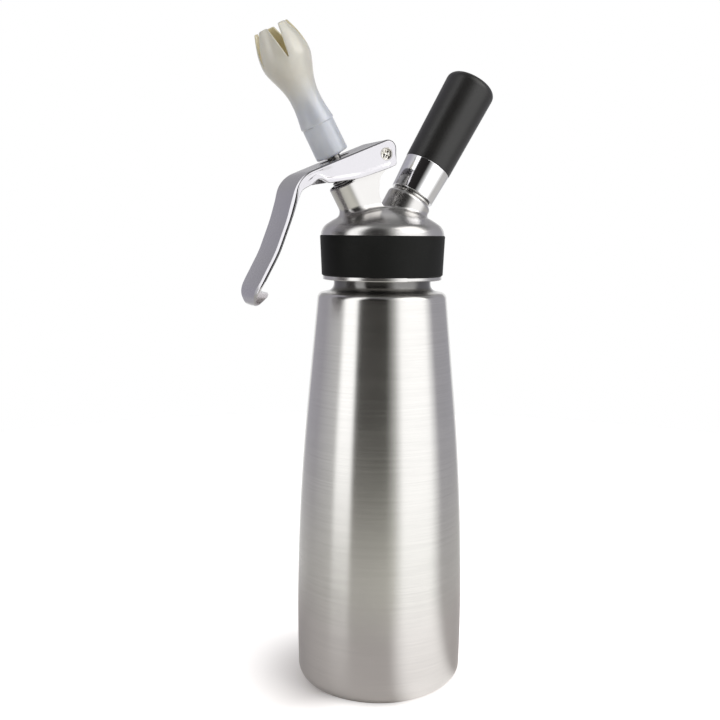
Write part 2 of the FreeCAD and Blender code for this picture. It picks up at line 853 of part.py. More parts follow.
def is_on_lever_top(edge):
    """True for an edge of the lever's side outline that lies on its upper and outer side."""
    middle = edge.valueAt(0.5 * (edge.FirstParameter + edge.LastParameter))
    spots = [Vector(p[0], 0, p[1]) for p in from_pivot(lever_top)]
    for a, b in zip(spots, spots[1:]):
        run = b - a
        flat = Vector(middle.x, 0, middle.z) - a
        share = max(0.0, min(1.0, flat.dot(run) / run.dot(run)))
        if (flat - run * share).Length < 1.6:
            return True
    return False


def pin_dish(face, side):
    """Ball that hollows the end face of the pin at a Y value."""
    middle = face + side * (pin_dish_radius - pin_dish_depth)
    return Part.makeSphere(pin_dish_radius, Vector(pivot.x, middle, pivot.z))


def make_lever_pin():
    """Pivot pin with a dished head, flush with the lever's near side."""
    near = -lever_width / 2
    head = cross_cylinder(pin_head_radius, near, near + pin_head_thickness)
    shaft = cross_cylinder(pin_radius, near, -near - pin_head_thickness)
    dish = pin_dish(near, -1)
    return head.fuse(shaft).cut(dish).removeSplitter()


def make_pin_cap():
    """Cap riveted on the far end of the pivot pin."""
    far = lever_width / 2
    cap = cross_cylinder(pin_head_radius, far - pin_head_thickness, far)
    return cap.cut(pin_dish(far, 1))


def make_pivot_washers():
    """Two plastic washers that centre the lever on the web."""
    start = lug_width / 2 + running_fit
    washers = []
    for side in (-1, 1):
        low = min(side * start, side * (start + washer_thickness))
        washer = cross_cylinder(washer_radius, low, low + washer_thickness)
        washers.append(washer.cut(cross_cylinder(pin_radius + fit, low - 1, low + washer_thickness + 1)))
    return Part.makeCompound(washers)


# ================================================================ gas port
def make_port_insert():
    """Threaded spigot that the charger holder screws on, with the socket for the neck."""
    shank = port_bore_radius - fit
    root = spigot_radius - spigot_thread_depth
    outline = [
        (0, port_bore_bottom),
        (shank, port_bore_bottom, 0.4),
        (shank, boss_top),
        (port_flange_radius, boss_top, 0.3),
        (port_flange_radius, flange_top, 0.3),
        (root, flange_top),
    ]
    start = flange_top + spigot_thread_start
    outline += thread_outline(root, spigot_radius, start, spigot_thread_pitch, spigot_thread_turns)
    outline += [(root, spigot_top, 0.4), (0, spigot_top)]
    socket = disc(neck_socket_radius, neck_socket_bottom, spigot_top + 1)
    needle_bore = disc(needle_radius + fit, needle_bottom, spigot_top)
    gas_way = disc(gas_hole_radius, port_bore_bottom - 1, spigot_top)
    filter_seat = disc(filter_radius + fit, port_bore_bottom - 1, port_bore_bottom + filter_thickness)
    return on_port(turned(outline).cut([socket, needle_bore, gas_way, filter_seat]))


def make_port_ring():
    """O-ring under the flange of the port insert."""
    place = boss_top - port_ring_wire
    return on_port(Part.makeTorus(port_ring_radius, 0.97 * port_ring_wire, Vector(0, 0, place)))


def make_piercing_needle():
    """Hollow needle that opens the charger."""
    outline = [
        (0, needle_bottom),
        (needle_radius, needle_bottom, 0.1),
        (needle_radius, needle_top - needle_point),
        (0.35 * needle_radius, needle_top, 0.1),
        (0, needle_top),
    ]
    bore = disc(0.3 * needle_radius, needle_bottom - 1, needle_top + 1)
    return on_port(turned(outline).cut(bore))


def make_charger_gasket():
    """Seal that the neck of the charger presses on."""
    return on_port(ring(
        needle_radius + fit,
        neck_socket_radius - fit,
        neck_socket_bottom,
        neck_socket_bottom + charger_gasket_thickness,
        0.2,
    ))


def make_gas_filter():
    """Sieve disc below the needle."""
    plate = disc(filter_radius, port_bore_bottom, port_bore_bottom + filter_thickness - fit)
    holes = []
    for step in range(filter_holes):
        turn = 2 * math.pi * step / filter_holes
        x = filter_hole_circle * math.cos(turn)
        y = filter_hole_circle * math.sin(turn)
        low = Vector(x, y, port_bore_bottom - 1)
        holes.append(Part.makeCylinder(filter_hole_radius, filter_thickness + 2, low))
    return on_port(plate.cut(holes))


def make_check_valve():
    """Rubber valve that lets gas into the bottle and keeps cream out of the port."""
    top = check_pocket_top
    outline = [
        (gas_hole_radius, top - check_cap_thickness),
        (check_cap_radius, top - check_cap_thickness, 0.5),
        (check_cap_radius, top, 0.3),
        (gas_passage_radius - fit, top),
        (gas_passage_radius - fit, top + check_stem_length, 0.4),
        (gas_hole_radius, top + check_stem_length),
    ]
    return on_port(turned(outline))


# ================================================================ charger and its holder
def charger_outline(inset):
    """Outline of the gas capsule, moved inwards by an inset."""
    return [
        (0, charger_bottom + inset),
        (charger_neck_radius - inset, charger_bottom + inset, 0.5),
        (charger_neck_radius - inset, charger_bottom + charger_neck_length, 3.0),
        (charger_radius - inset, charger_bottom + charger_neck_length + charger_shoulder, 8.0),
        (charger_radius - inset, charger_end - inset, charger_end_edge - inset),
        (0, charger_end - inset),
    ]


def make_charger():
    """Steel gas capsule, already pierced."""
    mouth = disc(charger_mouth_radius, charger_bottom - 1, charger_bottom + 2 * charger_wall)
    return on_port(turned(charger_outline(0)).cut([turned(charger_outline(charger_wall)), mouth]))


def make_holder_insert():
    """Chromed collar and cup in one, with the thread for the port."""
    outline = [
        (0, holder_bottom),
        (cup_radius + collar_bottom_step, holder_bottom, 0.6),
        (cup_radius + collar_top_step, collar_top, 0.3),
        (cup_radius, collar_top),
        (cup_radius, cup_end, 2.0),
        (0, cup_end),
    ]
    thread_bore = disc(spigot_radius + thread_clearance, holder_bottom - 1, spigot_top + 1)
    bore = disc(cup_bore, holder_bottom, cup_floor)
    return on_port(turned(outline).cut([thread_bore, bore]))


def make_holder_sleeve():
    """Black grip sleeve over the cup, with a rounded end."""
    inner = cup_radius + sleeve_fit
    outline = [
        (inner, collar_top + sleeve_fit),
        (cup_radius + collar_top_step, collar_top + sleeve_fit, 0.3),
        (cup_radius + sleeve_top_step, sleeve_top - 0.4, sleeve_edge),
        (0, sleeve_top),
        (0, cup_end + sleeve_fit),
        (inner, cup_end + sleeve_fit, 2.0),
    ]
    return on_port(turned(outline))


def make_charger_cushion():
    """Rubber pad at the end of the cup that presses the charger home."""
    return on_port(disc(cushion_radius, cup_floor - cushion_thickness, cup_floor))


# ================================================================ decorator tip
def tulip_curve(inset):
    """Spline along the tulip's wall from its base to its mouth, moved inwards by an inset."""
    curve = Part.BSplineCurve()
    curve.interpolate([Vector(radius - inset, 0, tip_bottom + place) for place, radius in tulip_form])
    return curve.toShape()


def tip_shell():
    """Collar and tulip as a wall of even thickness."""
    outer = tulip_curve(0)
    inner = tulip_curve(tulip_wall)
    base = tip_bottom + tip_collar_length
    start = outer.firstVertex(True).Point
    inner_start = inner.firstVertex(True).Point
    lower = rounded_path([
        (inner_start.x, inner_start.z),
        (stem_radius + 0.6, insert_top + 0.6, 0.4),
        (insert_radius + fit, insert_top),
        (insert_radius + fit, tip_bottom, 0.3),
        (tip_collar_bottom_radius, tip_bottom, 0.9),
        (tip_collar_top_radius, base, 0.2),
        (start.x, base + 0.1, 0.3),
        (start.x, start.z),
    ])
    top = Part.LineSegment(outer.lastVertex(True).Point, inner.lastVertex(True).Point).toShape()
    return spun(Part.Face(Part.Wire(Part.__sortEdges__(lower + [outer, inner, top]))))


def petal_slit():
    """Wedge that parts two petals, narrow at the bottom and wide at the mouth."""
    over = tulip_top + 2
    half_bottom = slit_bottom_width / 2
    half_top = slit_top_width / 2
    start = tip_bottom + slit_start
    outline = [(-half_bottom, start, 0.3), (half_bottom, start, 0.3), (half_top, over), (-half_top, over)]
    wedge = slab(outline, tulip_wall, 3 * tulip_form[-1][1])
    wedge.rotate(Vector(0, 0, 0), Vector(0, 0, 1), -90)
    return wedge


def make_decorator_tip():
    """Tulip tip with slit petals."""
    slits = []
    for step in range(petal_count):
        slit = petal_slit()
        slit.rotate(Vector(0, 0, 0), Vector(0, 0, 1), petal_turn + step * 360.0 / petal_count)
        slits.append(slit)
    return on_valve(tip_shell().cut(slits))


def make_tip_insert():
    """Threaded steel insert in the collar of the tip."""
    bore = tip_thread_radius + tip_thread_fit
    return on_valve(ring(bore, insert_radius, insert_bottom, insert_top - fit, 0.2))


def make_tip_seal():
    """Rubber washer between the stem's flange and the tip."""
    top = tip_flange_top + tip_seal_thickness
    return on_valve(ring(tip_thread_radius + tip_thread_fit, insert_radius - fit, tip_flange_top, top, 0.2))


# ================================================================ pieces
pieces = {
    "bottle": make_bottle,
    "head_body": make_head_body,
    "grip_band": make_grip_band,
    "head_gasket": make_head_gasket,
    "valve_stem": make_valve_stem,
    "valve_head": make_valve_head,
    "valve_seal": make_valve_seal,
    "stem_seal": make_stem_seal,
    "stem_guide": make_stem_guide,
    "valve_spring": make_valve_spring,
    "lever": make_lever,
    "lever_pin": make_lever_pin,
    "pin_cap": make_pin_cap,
    "pivot_washers": make_pivot_washers,
    "port_insert": make_port_insert,
    "port_ring": make_port_ring,
    "piercing_needle": make_piercing_needle,
    "charger_gasket": make_charger_gasket,
    "gas_filter": make_gas_filter,
    "check_valve": make_check_valve,
    "charger": make_charger,
    "holder_insert": make_holder_insert,
    "holder_sleeve": make_holder_sleeve,
    "charger_cushion": make_charger_cushion,
    "decorator_tip": make_decorator_tip,
    "tip_insert": make_tip_insert,
    "tip_seal": make_tip_seal,
}


def main():
    """Build every piece and write it to parts/."""
    os.makedirs("parts", exist_ok=True)
    for name, make in pieces.items():
        shape = make()
        if not shape.isValid():
            print(name, "is not valid")
        box = shape.BoundBox
        print(
            f"{name:16s} solids {len(shape.Solids)} volume {shape.Volume:10.1f}"
            f"  x {box.XMin:7.1f} {box.XMax:7.1f}  y {box.YMin:6.1f} {box.YMax:6.1f}"
            f"  z {box.ZMin:6.1f} {box.ZMax:6.1f}"
        )
        shape.exportStep("parts/" + name + ".step")


if __name__ == "__main__":
    main()
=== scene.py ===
"""Whipped cream dispenser: the finish of its steel bottle, head, lever valve and charger holder.

Sizes are in millimetres until a mesh is made, and places along a leaning axis count from the
point where that axis meets the axis of the bottle.
"""
import json
import logging
import math
from dataclasses import dataclass, field
from enum import Enum
from typing import Callable, Iterator, Optional, Sequence, Union

import bmesh
import bpy
import numpy as np
from mathutils import Matrix, Vector


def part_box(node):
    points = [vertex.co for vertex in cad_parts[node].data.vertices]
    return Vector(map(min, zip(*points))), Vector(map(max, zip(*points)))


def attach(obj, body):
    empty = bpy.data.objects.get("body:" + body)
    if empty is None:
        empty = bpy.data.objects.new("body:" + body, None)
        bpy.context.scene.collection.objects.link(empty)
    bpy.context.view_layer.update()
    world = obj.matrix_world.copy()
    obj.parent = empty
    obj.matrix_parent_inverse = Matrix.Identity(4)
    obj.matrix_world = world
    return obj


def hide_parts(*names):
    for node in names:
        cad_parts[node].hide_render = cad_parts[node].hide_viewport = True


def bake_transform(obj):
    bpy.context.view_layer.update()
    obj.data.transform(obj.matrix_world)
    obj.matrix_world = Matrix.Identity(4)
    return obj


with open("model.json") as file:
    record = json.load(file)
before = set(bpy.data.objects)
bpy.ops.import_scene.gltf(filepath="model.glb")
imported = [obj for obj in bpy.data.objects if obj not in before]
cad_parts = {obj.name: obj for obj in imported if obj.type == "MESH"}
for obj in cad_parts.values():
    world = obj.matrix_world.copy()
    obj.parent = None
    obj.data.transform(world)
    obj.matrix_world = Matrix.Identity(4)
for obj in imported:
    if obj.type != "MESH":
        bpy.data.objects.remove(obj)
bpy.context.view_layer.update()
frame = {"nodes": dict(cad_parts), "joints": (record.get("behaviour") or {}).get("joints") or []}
MM = 0.001
MERGED = 1e-7      # points closer than this become one, in metres
TINY = 1e-6        # keeps a division away from nothing
NEAR = 1e-3        # points closer than this count as touching, in millimetres
NO_CORNER = 1e-3   # an outline that turns by less than this, in radians, runs straight on
FULL_TURN = 2 * math.pi
LOG = logging.getLogger("dispenser")
Color = tuple[float, float, float]


# ================================================================ axes
def turned(x: np.ndarray, y: np.ndarray, angle: float) -> tuple[np.ndarray, np.ndarray]:
    """Coordinates turned in their plane: (x cos a - y sin a, x sin a + y cos a)."""
    cosine, sine = math.cos(angle), math.sin(angle)
    return x * cosine - y * sine, x * sine + y * cosine


@dataclass(frozen=True)
class Axis:
    """A line in the upright XZ plane that leans away from the axis of the bottle.

    Attributes:
        lean: degrees from upright, towards +X.
        root: height at which the line meets the axis of the bottle.
    """

    lean: float = 0.0
    root: float = 0.0

    def place(self, points: np.ndarray) -> np.ndarray:
        """Turn points drawn about +Z by the lean about +Y, then lift them to the root.

        Args:
            points: array of (x, y, z) rows about the Z axis.

        Returns:
            The same rows in the frame of the dispenser.
        """
        across, along = turned(points[..., 0], points[..., 2], -math.radians(self.lean))
        return np.stack([across, points[..., 1], along + self.root], axis=-1)

    def spot(self, across: float, along: float) -> Vector:
        """One point of the upright plane, in metres."""
        return Vector(self.place(np.array([across, 0.0, along])) * MM)


UPRIGHT = Axis()


def joint_lean(name: str) -> float:
    """Degrees that a joint's axis leans towards +X, read from the frame with its +Z end up."""
    axis = next(joint["axis"] for joint in frame["joints"] if joint["name"] == name)
    sign = 1.0 if axis[2] > 0 else -1.0
    return math.degrees(math.atan2(sign * axis[0], sign * axis[2]))


def node_size(name: str) -> tuple[np.ndarray, np.ndarray]:
    """Lowest and highest corner of a solid at rest, in millimetres."""
    low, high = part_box(name)
    return np.array(low) / MM, np.array(high) / MM


# ================================================================ surfaces
@dataclass
class Surface:
    """Points and faces of a mesh, with one value per point for each named mask.

    Attributes:
        points: (n, 3) array in millimetres.
        faces: faces as rows of point numbers, quads and triangles apart.
        masks: named arrays with a value for each point.
    """

    points: np.ndarray
    faces: list[np.ndarray]
    masks: dict[str, np.ndarray] = field(default_factory=dict)

    @staticmethod
    def joined(parts: Sequence["Surface"]) -> "Surface":
        """Put several surfaces with the same masks into one."""
        starts = np.cumsum([0] + [len(part.points) for part in parts])
        faces = [rows + start for part, start in zip(parts, starts) for rows in part.faces]
        masks = {
            name: np.concatenate([part.masks[name] for part in parts]) for name in parts[0].masks
        }
        return Surface(np.concatenate([part.points for part in parts]), faces, masks)


def grid_faces(rows: int, columns: int) -> np.ndarray:
    """Quads between neighbouring rows of a grid of points, each row a closed ring.

    Args:
        rows: number of rows, numbered one after another.
        columns: number of points in a row.

    Returns:
        (m, 4) array of point numbers.
    """
    i, j = np.meshgrid(np.arange(rows - 1), np.arange(columns), indexing="ij")
    up, on = i + 1, (j + 1) % columns
    quads = [i * columns + j, i * columns + on, up * columns + on, up * columns + j]
    return np.stack(quads, axis=-1).reshape(-1, 4)


def rounded(outline: Sequence[tuple], closed: bool = False, steps: int = 6,
            room: float = 0.49) -> np.ndarray:
    """Points of an outline whose corners are arcs.

    Each corner of radius r starts and ends r / tan(half angle) from the corner, and its
    points lie at equal turns about the arc's middle.

    Args:
        outline: (x, z) or (x, z, radius) corners.
        closed: whether the last corner meets the first.
        steps: pieces of each arc.
        room: share of a run's length that an arc at its end may take.

    Returns:
        (n, 2) array of points.
    """
    spots = np.array([corner[:2] for corner in outline], float)
    radii = [corner[2] if len(corner) > 2 else 0.0 for corner in outline]
    count, made = len(spots), []
    for i, spot in enumerate(spots):
        inner = closed or 0 < i < count - 1
        before, after = spots[i - 1] - spot, spots[(i + 1) % count] - spot
        reach = room * min(np.linalg.norm(before), np.linalg.norm(after))
        before, after = before / np.linalg.norm(before), after / np.linalg.norm(after)
        half = 0.5 * math.acos(float(np.clip(before @ after, -1, 1)))
        if not inner or radii[i] <= 0 or half > math.pi / 2 - NO_CORNER:
            made.append(spot[None])
            continue
        radius = min(radii[i], reach * math.tan(half))
        bisector = (before + after) / np.linalg.norm(before + after)
        middle = spot + bisector * radius / math.sin(half)
        side = np.array([-bisector[1], bisector[0]])
        side = side if side @ before > 0 else -side
        turn = np.linspace(math.pi / 2 - half, half - math.pi / 2, steps + 1)[:, None]
        made.append(middle + radius * (np.sin(turn) * side - np.cos(turn) * bisector))
    return np.concatenate(made)


def refined(profile: np.ndarray, step: float) -> np.ndarray:
    """Add evenly spaced points to the runs of a profile that are longer than a step."""
    runs = np.linalg.norm(np.diff(profile, axis=0), axis=1)
    pieces = np.maximum(1, np.ceil(runs / step)).astype(int)
    start = np.repeat(np.arange(len(pieces)), pieces)
    share = (np.arange(len(start)) - np.repeat(np.cumsum(pieces) - pieces, pieces)) / pieces[start]
    made = profile[start] + (profile[start + 1] - profile[start]) * share[:, None]
    return np.concatenate([made, profile[-1:]])


def circle(count: int) -> np.ndarray:
    """(cos a, sin a) at evenly spaced angles a of a full turn."""
    angle = np.arange(count) * FULL_TURN / count
    return np.stack([np.cos(angle), np.sin(angle)], axis=-1)


def quarter(count: int) -> np.ndarray:
    """(1 - sin t, 1 - cos t) at evenly spaced angles t of a quarter turn."""
    turn = np.linspace(0, math.pi / 2, count)
    return np.stack([1 - np.sin(turn), 1 - np.cos(turn)], axis=-1)


def ring_caps(rings: int, sides: int) -> list[np.ndarray]:
    """One face over the first ring of points and one over the last, both facing outwards."""
    return [np.arange(sides)[None, ::-1], (rings - 1) * sides + np.arange(sides)[None]]


def revolved(profile: np.ndarray, segments: int) -> Surface:
    """Turn a profile about the Z axis: (r, z) becomes (r cos a, r sin a, z) at each angle a.

    Args:
        profile: (n, 2) radii and heights, which start and end on the axis.
        segments: number of angles.

    Returns:
        The surface, with one point at each pole.
    """
    cosine, sine = circle(segments).T
    body = profile[1:-1]
    radius, height = body[:, :1], np.repeat(body[:, 1:], segments, axis=1)
    grid = np.stack([radius * cosine, radius * sine, height], axis=-1)
    points, faces = grid.reshape(-1, 3), [grid_faces(len(body), segments)]
    first = np.arange(segments)
    last = first + (len(body) - 1) * segments
    low, high = len(points), len(points) + 1
    faces.append(np.stack([np.full(segments, low), np.roll(first, -1), first], axis=-1))
    faces.append(np.stack([np.full(segments, high), last, np.roll(last, -1)], axis=-1))
    poles = np.array([[0, 0, profile[0, 1]], [0, 0, profile[-1, 1]]])
    return Surface(np.concatenate([points, poles]), faces)


def smooth_curve(places: np.ndarray, values: np.ndarray, at: np.ndarray) -> np.ndarray:
    """Natural cubic spline through (place, value) pairs, worked out at other places.

    The second derivatives solve the usual three-term system, and each span is the cubic
    that has them at its ends.
    """
    gap = np.diff(places)
    count = len(places)
    system = np.eye(count)
    inner = np.arange(1, count - 1)
    system[inner, inner - 1] = gap[:-1]
    system[inner, inner] = 2 * (gap[:-1] + gap[1:])
    system[inner, inner + 1] = gap[1:]
    slopes = np.diff(values) / gap
    right = np.zeros(count)
    right[1:-1] = 6 * np.diff(slopes)
    bend = np.linalg.solve(system, right)
    k = np.clip(np.searchsorted(places, at) - 1, 0, count - 2)
    a, b = places[k + 1] - at, at - places[k]
    cubic = (bend[k] * a**3 + bend[k + 1] * b**3) / (6 * gap[k])
    line_a = (values[k] / gap[k] - bend[k] * gap[k] / 6) * a
    line_b = (values[k + 1] / gap[k] - bend[k + 1] * gap[k] / 6) * b
    return cubic + line_a + line_b


def eased(value: np.ndarray, low: float, high: float) -> np.ndarray:
    """0 below low, 1 above high, and 3 v^2 - 2 v^3 at the share v of the way between them."""
    share = np.clip((value - low) / (high - low), 0, 1)
    return share * share * (3 - 2 * share)


def cross(first: np.ndarray, second: np.ndarray) -> np.ndarray:
    """Cross product of plane vectors: x1 y2 - y1 x2."""
    return first[..., 0] * second[..., 1] - first[..., 1] * second[..., 0]


def unit(vectors: np.ndarray) -> np.ndarray:
    """Rows divided by their lengths."""
    return vectors / np.linalg.norm(vectors, axis=1, keepdims=True)


def walked_along(path: np.ndarray) -> np.ndarray:
    """Length of a path up to each of its points."""
    return np.concatenate([[0], np.cumsum(np.linalg.norm(np.diff(path, axis=0), axis=1))])


def at_rows(values: np.ndarray, places: np.ndarray) -> np.ndarray:
    """Rows of an array at fractional row numbers, on the straight lines between its rows."""
    rows = np.arange(len(values))
    return np.stack([np.interp(places, rows, column) for column in values.T], axis=-1)


def mirrored(half: np.ndarray, sign: Union[float, np.ndarray] = 1.0) -> np.ndarray:
    """Columns of a half section, then all but its two end columns backwards, times a sign."""
    return np.concatenate([half, half[:, -2:0:-1] * sign], axis=1)


def nearest_row(points: np.ndarray, spot: np.ndarray) -> int:
    """Number of the point that lies nearest to a spot."""
    return int(np.argmin(np.linalg.norm(points - spot, axis=1)))


def side_of(path: np.ndarray) -> np.ndarray:
    """Unit vectors to the left of a plane path, at each of its points."""
    along = unit(np.gradient(path, axis=0))
    return np.stack([-along[:, 1], along[:, 0]], axis=-1)


def offset_path(path: np.ndarray, distance: float) -> np.ndarray:
    """Corners of a plane path moved to its left, with mitred corners.

    A corner moves along the sum m of its two runs' unit normals n, by distance / (m . n).
    """
    runs = unit(np.diff(path, axis=0))
    normals = np.stack([-runs[:, 1], runs[:, 0]], axis=-1)
    before, after = np.concatenate([normals[:1], normals]), np.concatenate([normals, normals[-1:]])
    mitre = unit(before + after)
    return path + mitre * distance / np.sum(mitre * before, axis=1, keepdims=True)


def met_rows(points: np.ndarray, lines: np.ndarray, path: np.ndarray) -> np.ndarray:
    """Fractional row numbers of a plane path where lines from some points first meet it.

    A line p + t u meets a run q + s v at t = (q - p) x v / (u x v) and
    s = (q - p) x u / (u x v), with s from 0 to 1.

    Args:
        points: where each line starts.
        lines: its unit direction.
        path: the points of the path.

    Returns:
        A row number for each line, 0 for a line that misses the path.
    """
    start, run = path[:-1], np.diff(path, axis=0)
    turn = cross(lines[:, None], run[None])
    toward = start[None] - points[:, None]
    with np.errstate(divide="ignore", invalid="ignore"):
        reach = cross(toward, run[None]) / turn
        share = cross(toward, lines[:, None]) / turn
    missed = (share < -TINY) | (share > 1 + TINY) | (reach < NEAR) | ~np.isfinite(reach)
    reach = np.where(missed, np.inf, reach)
    nearest = np.argmin(reach, axis=1)
    rows = np.arange(len(points))
    place = nearest + np.clip(share[rows, nearest], 0, 1)
    return np.where(np.isfinite(reach[rows, nearest]), place, 0.0)


def prism(outline: np.ndarray, near: float, far: float) -> Surface:
    """Outline of the side view carried straight from one Y to another, with flat ends."""
    count = len(outline)
    x, z = outline.T
    rings = [np.stack([x, np.full(count, y), z], axis=-1) for y in (near, far)]
    return Surface(np.concatenate(rings), [grid_faces(2, count), *ring_caps(2, count)])


def tube_along(path: np.ndarray, radius: float, sides: int) -> Surface:
    """Round tube along a path, with flat ends.

    Each ring lies across the path's local direction t, on the two unit vectors n and t x n,
    where n is the part of +Z that lies across t.
    """
    along = unit(np.gradient(path, axis=0))
    normal = unit(np.array([0.0, 0.0, 1.0]) - along * along[:, 2:])
    across = np.cross(along, normal)
    cosine, sine = circle(sides).T[:, None, :, None]
    ring = normal[:, None] * cosine + across[:, None] * sine
    points = (path[:, None] + radius * ring).reshape(-1, 3)
    return Surface(points, [grid_faces(len(path), sides), *ring_caps(len(path), sides)])


def placed(name: str, data: bpy.types.ID) -> bpy.types.Object:
    """Add an object that shows some data to the scene."""
    made = bpy.data.objects.new(name, data)
    bpy.context.scene.collection.objects.link(made)
    return made


def made_object(name: str, surface: Surface, axis: Axis = UPRIGHT,
                sharp: float = 35.0) -> bpy.types.Object:
    """Make a mesh object from a surface, merged, closed and facing outwards.

    Args:
        name: name of the piece.
        surface: what it is made of.
        axis: where it is placed.
        sharp: edges that turn by more degrees than this stay sharp.

    Returns:
        The object, which sits at the origin with its place in its mesh.
    """
    mesh = bpy.data.meshes.new(name)
    faces = [row for rows in surface.faces for row in rows.tolist()]
    mesh.from_pydata((axis.place(surface.points) * MM).tolist(), [], faces)
    for mask, values in surface.masks.items():
        mesh.attributes.new(mask, "FLOAT", "POINT").data.foreach_set("value", values.astype(np.float32))
    work = bmesh.new()
    work.from_mesh(mesh)
    bmesh.ops.remove_doubles(work, verts=work.verts, dist=MERGED)
    bmesh.ops.recalc_face_normals(work, faces=work.faces)
    work.to_mesh(mesh)
    work.free()
    mesh.polygons.foreach_set("use_smooth", np.ones(len(mesh.polygons), bool))
    mesh.set_sharp_from_angle(angle=math.radians(sharp))
    return placed(name, mesh)


def cut_out(piece: bpy.types.Object, cutter: bpy.types.Object, sharp: float) -> None:
    """Cut one closed object out of another, keep the result as its mesh and drop the cutter.

    Args:
        piece: the object to cut.
        cutter: what is taken away.
        sharp: edges that turn by more degrees than this stay sharp.
    """
    work = piece.modifiers.new("cut", "BOOLEAN")
    work.operation, work.object, work.solver = "DIFFERENCE", cutter, "EXACT"
    graph = bpy.context.evaluated_depsgraph_get()
    made = bpy.data.meshes.new_from_object(piece.evaluated_get(graph))
    piece.modifiers.clear()
    made.name = piece.name
    made.set_sharp_from_angle(angle=math.radians(sharp))
    piece.data = made
    bpy.data.objects.remove(cutter)


# ================================================================ shader expressions
def joined_by(operation: str, swapped: bool = False) -> Callable[["Wire", "Term"], "Wire"]:
    """Operator of a wire with another term, which adds a Math node.

    Args:
        operation: what the node works out.
        swapped: whether the other term comes first.

    Returns:
        The operator's method.
    """
    def operator(self: "Wire", other: "Term") -> "Wire":
        """Join the wire and the other term by a Math node."""
        return self.tree.math(operation, *((other, self) if swapped else (self, other)))
    return operator


@dataclass(frozen=True)
class Wire:
    """An output socket that can be written in sums, differences, products and quotients."""

    tree: "Tree"
    socket: bpy.types.NodeSocket

    __add__ = __radd__ = joined_by("ADD")
    __mul__ = __rmul__ = joined_by("MULTIPLY")
    __sub__, __rsub__ = joined_by("SUBTRACT"), joined_by("SUBTRACT", swapped=True)
    __truediv__, __rtruediv__ = joined_by("DIVIDE"), joined_by("DIVIDE", swapped=True)

    def __neg__(self) -> "Wire":
        """Opposite."""
        return self * -1.0

    def blended(self, other: "Wire", share: float) -> "Wire":
        """A share of this wire and the rest of another."""
        return self * share + other * (1 - share)

    def above(self, low: float, high: float) -> "Wire":
        """0 below low, 1 above high, and a smooth step between them."""
        ends = {"Value": self, "From Min": low, "From Max": high}
        return self.tree.out("ShaderNodeMapRange", {"interpolation_type": "SMOOTHSTEP"}, ends)


Term = Union[Wire, float]
RGBA_A, RGBA_B, RGBA_RESULT = 6, 7, 2   # a colour Mix node's sockets for colours


